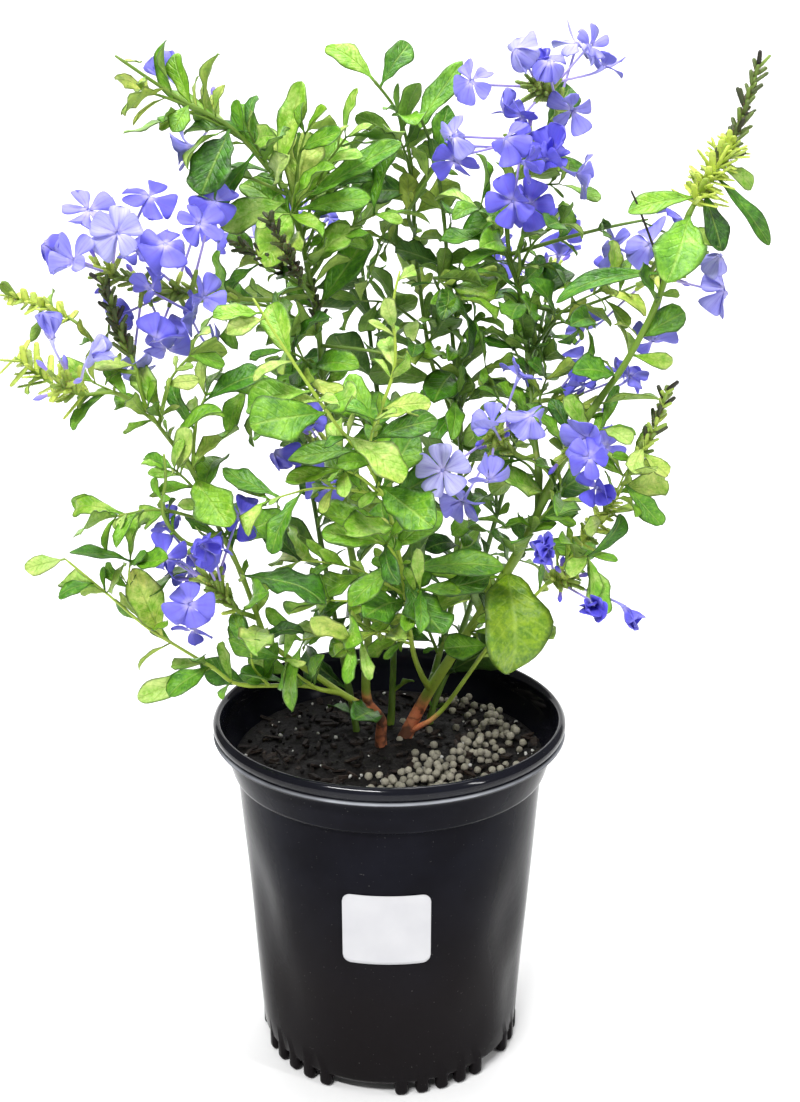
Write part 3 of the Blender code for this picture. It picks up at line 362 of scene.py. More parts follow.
# Leaves that show in front: how far along the stem, heading from +X, rise, length, width, and, where
# it is given, how far the blade bends down
CHOSEN_LEAVES = {
    "stem_tall_right": [(0.35, -86, -22, 52, 32, 62), (0.82, -105, -30, 36, 22),
                        (0.85, -55, -62, 27, 12), (0.87, -10, -42, 40, 9), (0.84, -165, 0, 31, 11),
                        (0.88, 15, -15, 22, 8), (0.67, -10, 40, 22, 14), (0.75, -172, 4, 48, 10),
                        (0.62, -140, 25, 24, 14), (0.65, 0, -14, 21, 8), (0.46, -150, 25, 26, 18),
                        (0.42, -5, 30, 22, 14), (0.38, -30, 10, 44, 13, 50), (0.34, -150, 14, 40, 14)],
    "stem_low_right": [(0.78, -35, -40, 24, 10), (0.86, -20, -40, 16, 8), (0.87, -125, -20, 14, 9),
                       (0.28, -155, 4, 22, 13)],
    "stem_left": [(0.13, -100, 25, 24, 16), (0.99, 20, -5, 14, 7), (0.87, -170, 38, 40, 12),
                  (0.91, -110, -30, 16, 9), (0.86, -125, -48, 34, 20), (0.82, -165, -48, 38, 12),
                  (0.75, -155, -8, 33, 15), (0.74, -128, -20, 34, 18), (0.78, 25, 74, 42, 12),
                  (0.8, 178, 62, 28, 12), (0.735, -60, 78, 36, 17), (0.74, 18, 55, 42, 12),
                  (0.74, -4, 38, 54, 11), (0.74, -28, 12, 34, 11), (0.67, -38, 45, 28, 15),
                  (0.62, 0, 55, 42, 16), (0.56, -120, -10, 30, 18), (0.5, -30, 15, 32, 18)],
    "stem_left_arch": [(0.63, -62, -28, 28, 18), (0.42, -28, 4, 42, 20), (0.85, -165, 10, 20, 10),
                       (0.7, -35, 45, 28, 13), (0.5, -20, 30, 30, 15), (0.3, -95, 15, 34, 17)],
    "stem_left_low": [(0.14, -140, 22, 34, 16), (1.0, -165, -8, 17, 9), (0.62, -128, 64, 34, 16),
                      (0.84, -50, 45, 20, 13), (0.43, -150, -12, 35, 10), (0.89, -150, 0, 16, 9)],
    "stem_front": [(0.44, -155, 18, 35, 16), (0.75, -140, 2, 33, 21), (0.8, -170, -6, 35, 17),
                   (0.32, -18, 18, 46, 14), (0.3, -62, -24, 34, 20), (0.69, -40, -16, 32, 16),
                   (0.97, -150, 4, 20, 10), (0.55, -60, -5, 38, 19), (0.24, -120, 20, 34, 17),
                   (0.5, 10, 35, 30, 15)],
    "stem_centre_top": [(0.8, 15, 58, 44, 12), (0.99, 178, 50, 28, 12), (0.97, 0, 62, 24, 11),
                        (0.67, -150, 6, 30, 18)],
    "stem_centre": [(0.92, -70, 72, 26, 11), (0.7, -60, 12, 34, 17), (0.55, -110, 0, 34, 18)],
    "stem_right_upper": [(0.77, -150, -38, 26, 16), (0.9, 0, -18, 30, 12), (0.5, -100, 10, 32, 16)],
}

# Where thin side shoots reach to, from each stem
SHOOTS = {
    "stem_left": [(-60, -5, 327), (-67, 5, 358), (-55, 10, 376), (-38, -15, 311), (-45, 0, 339),
                  (-69, 5, 413), (-35, 8, 430), (-41, -5, 398), (-19, 25, 409), (-6, 10, 396),
                  (-58, 0, 431), (-84, -10, 440), (-18, 15, 428), (-98, -16, 448)],
    "stem_left_arch": [(-76, -35, 327), (-81, -42, 345), (-88, -52, 299), (-112, -58, 281),
                       (-119, -50, 335)],
    "stem_left_low": [(-107, -60, 262), (-46, -35, 208), (-60, -40, 214)],
    "stem_front": [(-39, -20, 249), (-26, -25, 232), (-50, -45, 284), (-5, -60, 322), (-18, -55, 300),
                   (-1, -40, 263), (14, -30, 239), (-39, -30, 215), (-15, -38, 218)],
    "stem_centre": [(30, 35, 309), (19, 30, 277), (12, 45, 330), (40, 40, 345), (37, 20, 255),
                    (5, 5, 221), (26, 5, 226), (44, 30, 325), (38, 20, 352), (48, 40, 372)],
    "stem_centre_top": [(-2, 45, 381), (28, 50, 353), (5, 45, 425), (-13, 40, 354)],
    "stem_right_upper": [(49, 25, 383), (62, 15, 358), (74, 10, 392), (92, 5, 364), (70, 10, 324),
                         (50, 20, 312), (74, 20, 408), (40, 30, 396), (59, 5, 288), (88, 0, 343),
                         (56, 24, 336)],
    "stem_tall_right": [(92, -15, 307), (75, -18, 276), (80, -5, 300), (46, -12, 223), (60, 10, 239)],
    "stem_low_right": [(101, -28, 290), (86, -28, 252)],
    "stem_back": [(-5, 75, 334), (-14, 65, 292), (-19, 85, 399)],
    "stem_back_left": [(-53, 75, 334), (-43, 60, 303), (-38, 80, 353)],
    "stem_back_right": [(63, 70, 301), (73, 80, 333), (48, 55, 275)],
}

# Bare twigs and cut stubs: the stem, the route, the radius, how dead they are and how many spent
# calyces stand on them
TWIGS = [
    ("stem_left", [(-30, 20, 337), (-10, 15, 336), (9, 10, 333)], 1.1, 0.0, 0),
    ("stem_left", [(-33, 19, 356), (-38, -7, 372), (-43, -20, 386), (-49, -25, 399)], 0.9, 0.0, 30),
    ("stem_left", [(-33, 18, 360), (-48, -2, 376), (-64, -12, 387)], 0.9, 0.0, 18),
    ("stem_centre_top", [(7, 52, 392), (16, 45, 408), (26, 37, 422)], 1.5, 0.0, 0),
    ("stem_tall_right", [(116, -9, 367), (114, -13, 378), (105, -17, 399), (100, -19, 409)], 0.8, 1.0, 0),
]

# Young, spent and green calyces set close together on a stem: its tube, from where to where along it,
# how many, their length and their tone
SPIKES = {
    "stem_tall_right": [(0, 0.9, 1.0, 30, 8.0, 0.46), (0, 0.83, 0.91, 84, 11.5, 0.0)],
    "stem_low_right": [(0, 0.84, 1.0, 26, 6.0, 0.28), (0, 0.6, 0.74, 30, 8.5, 0.0)],
    "stem_left_arch": [(0, 0.86, 1.0, 34, 7.5, 0.52), (1, 0.45, 1.0, 28, 12.5, 0.0),
                       (2, 0.55, 1.0, 34, 6.5, 0.0)],
    "stem_left": [(0, 0.6, 0.65, 20, 6.5, 0.7)],
}

# How many more blossoms, some half open, fill a head out, and how far their middle is moved
FULLNESS = {"bloom_top": 5, "bloom_top_front": 3, "bloom_left": 5, "bloom_low_left": 3,
            "bloom_centre_left": 1, "bloom_centre": 2, "bloom_right": 2, "bloom_right_front": 1,
            "bloom_low_right": 1}
FULL_SHIFT = {"bloom_top": (-12, -2, -12), "bloom_top_front": (-6, 0, 6)}

# The blossoms that stay half closed, with the least and the most that their petals stand up, and those
# that face the front, flat and broad
HALF_CLOSED = {"bloom_low_right": (72, 92), "bloom_right_front": (30, 60), "bloom_top_left": (50, 78),
               "bloom_far_left": (66, 90)}
WIDE_OPEN = {("bloom_centre", 0)}

# How much thinner a stem is than its solid, how pale its skin is, and how high its bark reaches
SLIMMER = {"stem_tall_right": 0.78, "stem_front": 0.74, "stem_left_low": 0.76, "stem_low_right": 0.76}
PALE_STEMS = {"stem_front": 0.5, "stem_left_low": 0.44}
BARK_TOP = {"stem_tall_right": 171, "stem_low_right": 164, "stem_left": 176, "stem_left_arch": 174}

# How young the leaves of a stem are (0 is dark and old), how violet the blossoms of a head are, and
# which leaves have a yellow, veined blade, with how ripe they are
YOUTH = {"stem_front": 0.44, "stem_left_low": 0.42, "stem_left_arch": 0.44, "stem_tall_right": 0.42,
         "stem_low_right": 0.5, "stem_left": 0.36, "stem_centre": 0.24, "stem_centre_top": 0.32,
         "stem_back": 0.18, "stem_back_left": 0.14, "stem_back_right": 0.14}
VIOLET = {"bloom_top": 0.42, "bloom_top_front": 0.66, "bloom_left": 0.52, "bloom_far_left": 0.12,
          "bloom_low_left": 0.6, "bloom_centre_left": 0.62, "bloom_centre": 0.5, "bloom_right": 0.56,
          "bloom_right_front": 0.62, "bloom_right_back": 0.44, "bloom_low_right": 0.66,
          "bloom_top_left": 0.3, "bloom_back_left": 0.46, "bloom_back_right": 0.46}
RIPE = {("stem_tall_right", 0): 1.0, ("stem_left_arch", 0): 0.25, ("stem_left_low", 2): 0.3}

# The tone of the leaves and blossoms that catch the eye, by their order on their stem or head
TONES = {
    "stem_tall_right": {0: 0.42, 1: 0.5, 2: 0.08, 3: 0.22, 4: 0.56, 7: 0.3},
    "stem_left": {0: 0.15, 4: 0.14, 5: 0.3},
    "stem_left_arch": {0: 0.5, 1: 0.2},
    "stem_left_low": {0: 0.3, 2: 0.74},
    "stem_front": {0: 0.5, 1: 0.42, 3: 0.4, 4: 0.3, 7: 0.36, 8: 0.3},
    "bloom_top": {0: 0.16, 1: 0.4, 4: 0.22, 5: 0.5},
    "bloom_left": {0: 0.4, 6: 0.3},
    "bloom_centre": {0: 0.08, 1: 0.3, 3: 0.3},
    "bloom_right_back": {4: 0.2, 5: 0.25},
}


# Routes and directions


def length_of(points):
    return sum((b - a).length for a, b in zip(points, points[1:]))


def along(points, share):
    """(point, direction) at this share of a route's length."""
    left = share * length_of(points)
    for a, b in zip(points, points[1:]):
        step = (b - a).length
        if left <= step:
            return a.lerp(b, left / step), (b - a) / step
        left -= step
    return points[-1].copy(), (points[-1] - points[-2]).normalized()


def nearest_share(points, place):
    """The share of the route's length that lies nearest to a place."""
    shares = [i / 200 for i in range(201)]
    return min(shares, key=lambda s: (along(points, s)[0] - place).length)


def distance_to(points, place):
    return (along(points, nearest_share(points, place))[0] - place).length


def on_route(places, spot):
    """The place on a route that lies nearest to a spot."""
    found = []
    for a, b in zip(places, places[1:]):
        share = geometry.intersect_point_line(spot, a, b)[1]
        found.append(a.lerp(b, held(share)))
    return min(found, key=lambda place: (place - spot).length)


def curved(points, values, parts):
    """A smooth run of places through the points, in this many parts from one to the next, and its values."""
    places, found = [], []
    last = len(points) - 1
    for k in range(last):
        before, start, end, after = (points[held(k + step, 0, last)] for step in (-1, 0, 1, 2))
        pull = 2 * before - 5 * start + 4 * end - after
        turn = 3 * start - before - 3 * end + after
        for part in range(parts):
            t = part / parts
            places.append(0.5 * (2 * start + (end - before) * t + pull * t ** 2 + turn * t ** 3))
            found.append(values[k] + (values[k + 1] - values[k]) * t)
    return places + [points[-1].copy()], found + [values[-1]]


def held(value, low=0.0, high=1.0):
    """The value kept between two others."""
    return min(max(value, low), high)


def across(axis, toward):
    """The unit vector square to axis that lies nearest to toward."""
    flat = toward - axis * toward.dot(axis)
    return flat.normalized() if flat.length > 1e-4 else axis.orthogonal().normalized()


def turned(vector, degrees, axis):
    """The vector turned about an axis."""
    return Matrix.Rotation(math.radians(degrees), 3, axis) @ vector


def beside(axis, degrees, toward=UP):
    """The unit vector square to axis that lies nearest to toward, and then turned about the axis."""
    return turned(across(axis, toward), degrees, axis)


def round_z(radius, degrees, height=0.0):
    """A place or a direction from its distance to +Z, its heading from +X and its height."""
    turn = math.radians(degrees)
    return Vector((radius * math.cos(turn), radius * math.sin(turn), height))


def heading(degrees, rise):
    """A unit vector from its heading about +Z and its rise over the level."""
    lift = math.radians(rise)
    return round_z(math.cos(lift), degrees, math.sin(lift))


def leaning(draw, tube, share, turn, low, high):
    """A direction that leans out of a tube by an angle between low and high, turned about the tube."""
    axis = along(tube.points, share)[1]
    lean = math.radians(draw.uniform(low, high))
    return axis * math.cos(lean) + beside(axis, turn, TOWARD_VIEWER) * math.sin(lean)


def shaken(draw, reach):
    """A random step of up to this reach along each axis."""
    return Vector([draw.uniform(-reach, reach) for _ in range(3)])


def strewn(draw, spread):
    """A random step, most often shorter than this spread along each axis."""
    return Vector([draw.gauss(0, spread) for _ in range(3)])


def aimed(place, way, toward=UP):
    """The matrix that stands a shape's +Z along way at this place."""
    side = across(way, toward)
    turn = Matrix((way.cross(side).normalized() * -1, side, way)).transposed()
    return Matrix.Translation(place) @ turn.to_4x4()


# Plain shapes, as the solids have them, which say how much room each part takes


def grid_corners(bm, columns, rows):
    """The corners of a new grid: (corner, how far across it lies from -1 to 1, its row)."""
    made = bmesh.ops.create_grid(bm, x_segments=columns, y_segments=rows, size=1.0)["verts"]
    return [(vert, vert.co.x, round((vert.co.y + 1) / 2 * rows)) for vert in made]


def merge(bm, corners, gap=0.01):
    """Makes one of the corners that meet."""
    bmesh.ops.remove_doubles(bm, verts=[vert for vert, _, _ in corners], dist=gap)


def blade_outline(t):
    """Half width of a spatula-shaped leaf at t, from 0 to 1."""
    return t ** 1.1 * max(1 - t ** 3.2, 0.0) ** 0.6 / 0.535


def blade_point(leaf, t, u):
    """A point of a leaf: t runs from its root to its tip, and u from -1 to 1 across it."""
    bend = math.radians(leaf.droop)
    out = leaf.length * math.sin(bend * t) / bend
    drop = leaf.length * (1 - math.cos(bend * t)) / bend
    half = leaf.width / 2 * blade_outline(t)
    side = leaf.axis.cross(leaf.face)
    return leaf.root + leaf.axis * out - leaf.face * drop + side * (half * u)


def blade_mesh(leaf, stations, thickness):
    """A leaf as a closed solid of this thickness about its middle."""
    bm = bmesh.new()
    for vert, u, row in grid_corners(bm, 1, len(stations) - 1):
        vert.co = blade_point(leaf, stations[row], u)
    bmesh.ops.remove_doubles(bm, verts=bm.verts[:], dist=0.01)
    bmesh.ops.triangulate(bm, faces=bm.faces[:])
    bm.normal_update()
    for vert in bm.verts:
        vert.co -= vert.normal * (thickness / 2)
    bm.normal_update()
    bmesh.ops.solidify(bm, geom=bm.faces[:], thickness=-thickness)
    bmesh.ops.recalc_face_normals(bm, faces=bm.faces[:])
    return bm


def ring_of(bm, places, capped=False):
    """A closed ring of edges through the places, with a face over it if capped."""
    made = bmesh.ops.create_circle(bm, segments=len(places), radius=1.0, cap_ends=capped)["verts"]
    made.sort(key=lambda v: math.atan2(v.co.y, v.co.x) % (2 * math.pi))
    for vert, place in zip(made, places):
        vert.co = place
    return [e for e in bm.edges if e.verts[0] in made and e.verts[1] in made]


def limb_outline(floret, height):
    """The corners of the five-petalled limb: a notch and two shoulders for each petal."""
    stand = aimed(floret.throat, floret.face)
    middle = PETAL_TURN / 2
    shoulders = ((0, LIMB_NOTCH), (middle - PETAL_SHOULDER, 1), (middle + PETAL_SHOULDER, 1))
    return [stand @ round_z(floret.size * share, petal * PETAL_TURN + angle + floret.turn, height)
            for petal in range(PETALS) for angle, share in shoulders]


def floret_mesh(floret, grown, start):
    """A floret as one closed loft: a three-sided tube that opens in the thin star of its petals."""
    bm = bmesh.new()
    root = floret.root.lerp(floret.throat, start)
    low, high = aimed(root, (floret.throat - root).normalized()), aimed(floret.throat, floret.face)
    corners = [round_z(1, 120 * k + floret.turn) for k in range(3)]
    foot = [low @ (corner * (CALYX_RADIUS + grown)) for corner in corners]
    neck = [high @ (corner * (TUBE_RADIUS + grown) - UP * (1 + grown)) for corner in corners]
    rings = [ring_of(bm, nearest_turn(foot, neck), True), ring_of(bm, neck)]
    rings.append(ring_of(bm, limb_outline(floret, -grown)))
    rings.append(ring_of(bm, limb_outline(floret, BLADE + grown), True))
    for lower, upper in zip(rings, rings[1:]):
        bmesh.ops.bridge_loops(bm, edges=lower + upper)
    bmesh.ops.triangulate(bm, faces=bm.faces[:])
    bmesh.ops.recalc_face_normals(bm, faces=bm.faces[:])
    return bm


def nearest_turn(ring, target):
    """The ring's corners in the order that lies nearest to the target's."""
    turns = [ring[k:] + ring[:k] for k in range(len(ring))]
    return min(turns, key=lambda r: sum((p - q).length for p, q in zip(r, target)))


def cone_mesh(start, end, radius_start, radius_end, sides=3):
    bm = bmesh.new()
    way = end - start
    bmesh.ops.create_cone(
        bm, cap_ends=True, cap_tris=False, segments=sides, radius1=radius_start, radius2=radius_end,
        depth=way.length, matrix=aimed(start.lerp(end, 0.5), way.normalized()),
    )
    return bm


def in_scene(name, data):
    """An object of this data in the scene."""
    made = bpy.data.objects.new(name, data)
    bpy.context.scene.collection.objects.link(made)
    return made


def final_mesh(piece):
    """A new mesh of an object as its curve or its modifiers leave it."""
    bpy.context.view_layer.update()
    return bpy.data.meshes.new_from_object(piece.evaluated_get(bpy.context.evaluated_depsgraph_get()))


def tube_mesh(points, radii, sides):
    """A closed tube through the points, made from a bevelled curve."""
    curve = bpy.data.curves.new("tube", "CURVE")
    curve.dimensions = "3D"
    curve.bevel_depth = 1.0
    curve.bevel_resolution = (sides - 4) // 2
    curve.use_fill_caps = True
    spline = curve.splines.new("POLY")
    spline.points.add(len(points) - 1)
    for target, place, radius in zip(spline.points, points, radii):
        target.co = (*place, 1.0)
        target.radius = radius
    made = in_scene("tube", curve)
    mesh = final_mesh(made)
    bpy.data.objects.remove(made)
    bpy.data.curves.remove(curve)
    bm = bmesh.new()
    bm.from_mesh(mesh)
    bpy.data.meshes.remove(mesh)
    bmesh.ops.remove_doubles(bm, verts=bm.verts[:], dist=1e-3)
    bmesh.ops.recalc_face_normals(bm, faces=bm.faces[:])
    return bm


class Space:
    """Keeps every shape placed so far, and says whether a new one would touch them."""

    def __init__(self):
        self.taken = []

    def shape(self, bm, owner):
        places = [v.co for v in bm.verts]
        middle = sum(places, Vector()) / len(places)
        reach = max((p - middle).length for p in places)
        tree = BVHTree.FromBMesh(bm)
        bm.free()
        return middle, reach, tree, owner

    def free(self, shape, skip=None):
        middle, reach, tree, _ = shape
        for other, far, other_tree, owner in self.taken:
            if owner != skip and (other - middle).length < reach + far and tree.overlap(other_tree):
                return False
        return True

    def keep_tube(self, tube, owner, more=0.0):
        """Takes the room of a tube and of the gap round it, whatever else is there."""
        wide = [radius + CLEAR + more for radius in tube.radii]
        self.taken.append(self.shape(tube_mesh(tube.points, wide, tube.sides), owner))

    def take(self, bm, owner, skip=None):
        """Takes a shape's room if it is free of every owner but the one to skip, and says whether it was."""
        shape = self.shape(bm, owner)
        found = self.free(shape, skip)
        if found:
            self.taken.append(shape)
        return found

    def take_grown(self, whole, outer, owner, keep_whole):
        """Takes the room of what grows on its owner, if all of it is free of the other owners and its
        outer part of its own as well. Says whether it was."""
        whole, outer = self.shape(whole, owner), self.shape(outer, owner)
        found = self.free(whole, skip=owner) and self.free(outer)
        if found:
            self.taken.append(whole if keep_whole else outer)
        return found


# The layout that the solids have


def radius_at(spec, share):
    low, high = spec["radii"]
    return low + (high - low) * share ** 0.8


def cleared_start(route, parent, parent_radius, radius):
    """The route without the stretch that would lie inside its parent."""
    total = length_of(route)
    travelled = 0.0
    while travelled < total / 2:
        place, way = along(route, travelled / total)
        side = way.orthogonal().normalized()
        ring = [place + turned(side, 45 * k, way) * radius for k in range(8)]
        if min(distance_to(parent, corner) for corner in ring) >= parent_radius + CLEAR:
            break
        travelled += 0.25
    kept = [place]
    done = 0.0
    for a, b in zip(route, route[1:]):
        done += (b - a).length
        if done > travelled + 2.5:
            kept.append(b)
    return kept


def stem_route(name):
    spec = STEMS[name]
    route = [Vector(p) for p in spec["route"]]
    if spec["parent"] is None:
        foot = Vector((route[0].x, route[0].y, SOIL_TOP - STEM_DEPTH))
        return [foot] + route
    parent = stem_route(spec["parent"])
    share = nearest_share(parent, route[0])
    return cleared_start(route, parent, radius_at(STEMS[spec["parent"]], share), spec["radii"][0])


def stem_tubes(space, name):
    """A stem and its side sprigs, with their room taken."""
    spec = STEMS[name]
    route = stem_route(name)
    last = len(route) - 1
    tubes = [Tube(route, [radius_at(spec, i / last) for i in range(last + 1)], spec["sides"])]
    for sprig in spec.get("sprigs", ()):
        last = len(sprig) - 1
        radii = [SPRIG_RADIUS - SPRIG_TAPER * i / last for i in range(last + 1)]
        tubes.append(Tube([Vector(p) for p in sprig], radii, SPRIG_SIDES))
    for tube in tubes:
        space.keep_tube(tube, name, 0.15)
    return tubes


def stalk_tube(space, name, stems):
    """The stalk of a flower head from beside its stem, or from over its tip, with its room taken."""
    spec = HEADS[name]
    route = [Vector(p) for p in spec["route"]]
    carrier = min(stems[spec["stem"]].tubes, key=lambda tube: distance_to(tube.points, route[0]))
    share = nearest_share(carrier.points, route[0])
    if share > 0.985:
        tip, way = along(carrier.points, 1.0)
        route[0] = tip + way * CLEAR
        route.insert(1, tip + way * 3)
    else:
        thick = carrier.radii[round(share * (len(carrier.radii) - 1))]
        route = cleared_start(route, carrier.points, thick, STALK_RADIUS)
    stalk = Tube(route, [STALK_RADIUS] * len(route), SPRIG_SIDES)
    space.keep_tube(stalk, name)
    return stalk


def grow():
    """Places everything that the solids have: (space, stems, heads)."""
    space = Space()
    stems = {name: Stem(name, stem_tubes(space, name), [], []) for name in STEMS}
    heads = {name: Head(name, stalk_tube(space, name, stems), [], []) for name in HEADS}
    for head in heads.values():
        place_florets(space, head)
    for name, rows in CHOSEN_LEAVES.items():
        draw = random.Random(name)
        tube = stems[name].tubes[0]
        for share, turn, rise, length, width, *droop in rows:
            bend = droop[0] if droop else draw.uniform(10, 34)
            place_leaf(space, draw, stems[name], tube, share, heading(turn, rise), length, width, bend,
                       chosen=True)
    for stem in stems.values():
        place_leaves_by_rule(space, stem)
    for stem in stems.values():
        place_spikes(space, stem)
    for head in heads.values():
        place_buds(space, head)
    return space, stems, heads


def place_leaf(space, draw, stem, tube, share, way, length, width, droop, chosen=False, margin=MARGIN):
    """Puts a leaf at this share of a tube, turned a little or shortened where it would touch something."""
    root, axis = along(tube.points, share)
    outward = Vector((root.x - PLANT_MIDDLE.x, root.y - PLANT_MIDDLE.y, 0)).normalized()
    light = TOWARD_VIEWER * 0.8 + UP * 0.45 if chosen else UP * 0.55 + outward * 0.75
    stations = LARGE_LEAF if chosen and length > LARGE_LENGTH else SMALL_LEAF
    for attempt in range(LEAF_TRIES):
        sway = 7 * attempt ** 0.7
        aim = turned(way, draw.uniform(-sway, sway), axis)
        aim = (aim + axis * math.radians(draw.uniform(-sway, sway)) * 0.7).normalized()
        spread = (12 if chosen else 24) + sway
        face = turned(across(aim, light), draw.uniform(-spread, spread), aim)
        size = 1 - 0.02 * attempt
        leaf = Leaf(root, aim, face, length * size, width * size, droop, stations)
        tip = blade_point(leaf, 1.0, 0.0)
        if tip.z < SOIL_TOP + 6 and math.hypot(tip.x, tip.y) < RIM_RADIUS + 8:
            continue
        whole, outer = (blade_mesh(leaf, part, BLADE + margin) for part in (stations, stations[1:]))
        if space.take_grown(whole, outer, stem.name, True):
            stem.leaves.append(leaf)
            return


def place_leaves_by_rule(space, stem):
    """Fills a stem with leaves in a spiral, and its sprigs with shorter ones."""
    start, pitch, low, high = STEMS[stem.name]["leaves"]
    draw = random.Random("rule " + stem.name)
    turn = draw.uniform(0, 360)
    for index, tube in enumerate(stem.tubes):
        total = length_of(tube.points)
        first, size = (start, 1.0) if index == 0 else (0.25, 0.6)
        at = first * total + draw.uniform(0, pitch / 2)
        last = total * (0.8 if STEMS[stem.name].get("spike") and index == 0 else 0.99)
        while at < last:
            share = at / total
            way = leaning(draw, tube, share, turn, 42, 68)
            length = (low + (high - low) * share) * size * draw.uniform(0.9, 1.2)
            width = length * draw.uniform(0.44, 0.56)
            place_leaf(space, draw, stem, tube, share, way, length, width, draw.uniform(10, 34))
            turn += GOLDEN
            at += pitch * draw.uniform(0.8, 1.2) * (0.8 if index else 1.0)


def place_florets(space, head):
    """Opens a head's blossoms: those seen in front at their places, and more round the stalk by rule."""
    blooms = HEADS[head.name].get("blooms", ())
    draw = random.Random(head.name)
    stalk = head.stalk.points
    count = len(blooms) + HEADS[head.name].get("more", 0)
    for index in range(count):
        for attempt in range(LEAF_TRIES):
            if index < len(blooms):
                throat = Vector(blooms[index])
                roots = (along(stalk, 0.25 + 0.07 * k)[0] for k in range(11))
                root = min(roots, key=lambda place: abs((throat - place).length - FLORET_REACH))
            else:
                root = along(stalk, 0.3 + 0.68 * (index + 0.5) / count)[0]
                out = round_z(1, index * GOLDEN, draw.uniform(0.1, 1.3)).normalized()
                throat = root + out * draw.uniform(26, 33)
            throat = throat + shaken(draw, 1.5 * attempt)
            face = (throat - root).normalized() * 0.9 + shaken(draw, 0.4)
            if index < len(blooms):
                face += TOWARD_VIEWER * 0.55
            turn = draw.uniform(0, PETAL_TURN)
            size = LIMB_RADIUS * draw.uniform(0.93, 1.04) * (1 - 0.012 * attempt)
            floret = Floret(root, throat, face.normalized(), turn, size)
            whole, limb = (floret_mesh(floret, MARGIN / 2, start) for start in (0.1, 0.45))
            if space.take_grown(whole, limb, head.name, False):
                head.florets.append(floret)
                break


def place_buds(space, head):
    """Closed buds and green calyces round the stalk of a head."""
    draw = random.Random("buds " + head.name)
    count = HEADS[head.name]["buds"]
    for index in range(count):
        root, axis = along(head.stalk.points, 0.45 + 0.55 * (index + 1) / count)
        for attempt in range(BUD_TRIES):
            out = axis * draw.uniform(0.5, 1.1) + beside(axis, index * GOLDEN + 40 * attempt)
            bud = Bud(root, out.normalized(), draw.uniform(11, 16))
            if space.take(cone_mesh(root + bud.axis * 5, root + bud.axis * bud.length, 1.6, 1.6), head.name):
                head.buds.append(bud)
                break


def place_spikes(space, stem):
    """Spent calyces up the last stretch of a stem that has flowered."""
    draw = random.Random("spike " + stem.name)
    count = STEMS[stem.name].get("spike", 0)
    for index in range(count):
        share = SPIKE_START + 0.14 * (index + 1) / count
        root, axis = along(stem.tubes[0].points, share)
        out = (axis * 1.1 + beside(axis, index * GOLDEN)).normalized()
        bud = Bud(root, out, draw.uniform(7, 9.5) * (1.15 - 0.3 * (share - SPIKE_START) / 0.14))
        if space.take(cone_mesh(root + out * 2, root + out * bud.length, 1.8, 1.8), stem.name, stem.name):
            stem.buds.append(bud)


def prill_places():
    """Fertiliser prills: a heap behind the front rim that thins out towards the right, and loose ones."""
    draw = random.Random("prills")
    places = []
    while len(places) < HEAP_PRILLS + LOOSE_PRILLS:
        if len(places) < HEAP_PRILLS:
            share = draw.random() ** 1.35
            place = round_z(draw.uniform(50 + 6 * share, 69 - 2 * share), -88 + share * 78)
        else:
            place = Vector((draw.uniform(26, 50), draw.uniform(-8, 26), 0))
        if all((place - other).length > PRILL_GAP for other in places):
            places.append(place)
    return places


def wall_radius(z):
    """Outer radius of the pot's plain wall."""
    wider = STEP_RADIUS - BASE_RADIUS - 1
    return BASE_RADIUS + 1 + wider * (z - BASE_HEIGHT) / (STEP_HEIGHT - BASE_HEIGHT)


def collar_radius(z):
    """Inner radius of the pot above its step ring, where it widens to the rim."""
    low, high = STEP_RADIUS - WALL, RIM_RADIUS - RIM_THICK
    return low + (high - low) * (z - STEP_HEIGHT) / (POT_HEIGHT - RIM_DEPTH - STEP_HEIGHT)


def soil_height(ring):
    """Height of the mix's low dome at this distance from its middle."""
    return SOIL_TOP + SOIL_DOME - (SOIL_DOME + 1.0) * (ring / STEP_RADIUS) ** 2


# Fine shapes


def untwisted(places):
    """Two cross directions for each place of a route, which turn no more than the route does."""
    found = []
    side = Vector((1.0, 0.0, 0.0))
    for k in range(len(places)):
        way = (places[min(k + 1, len(places) - 1)] - places[max(k - 1, 0)]).normalized()
        side = across(way, side)
        found.append((side, way.cross(side)))
    return found


def growth():
    """An empty mesh with the layers that the plant's materials read."""
    bm = bmesh.new()
    layers = {name: bm.verts.layers.float.new(name) for name in ("along", "across", "tone", "ripe")}
    return bm, layers


def mark(vert, layers, **values):
    """Writes values into the layers of a corner."""
    for name, value in values.items():
        vert[layers[name]] = value


def add_tube(bm, places, radii, sides, ribs=0.0):
    """A closed tube rolled up from a grid. Returns its corners that are left, each with its row."""
    turns = untwisted(places)
    turns = [turns[0]] + turns + [turns[-1]]
    ends = [places[0]] + list(places) + [places[-1]]
    wide = [0.0] + list(radii) + [0.0]
    corners = grid_corners(bm, sides, len(ends) - 1)
    for vert, u, row in corners:
        column = round((u + 1) / 2 * sides)
        turn = 2 * math.pi * column / sides
        side, up = turns[row]
        radius = wide[row] * (1 + ribs * (-1) ** column)
        vert.co = ends[row] + (side * math.cos(turn) + up * math.sin(turn)) * radius
    merge(bm, corners, 1e-4)
    return [(vert, held(row - 1, 0, len(places) - 1)) for vert, _, row in corners if vert.is_valid]


def paint(verts, index):
    """Gives every face at these corners one of its piece's finishes."""
    for face in {face for vert in verts for face in vert.link_faces}:
        face.material_index = index


def mesh_of(name, bm):
    mesh = bpy.data.meshes.new(name)
    bm.to_mesh(mesh)
    bm.free()
    return mesh


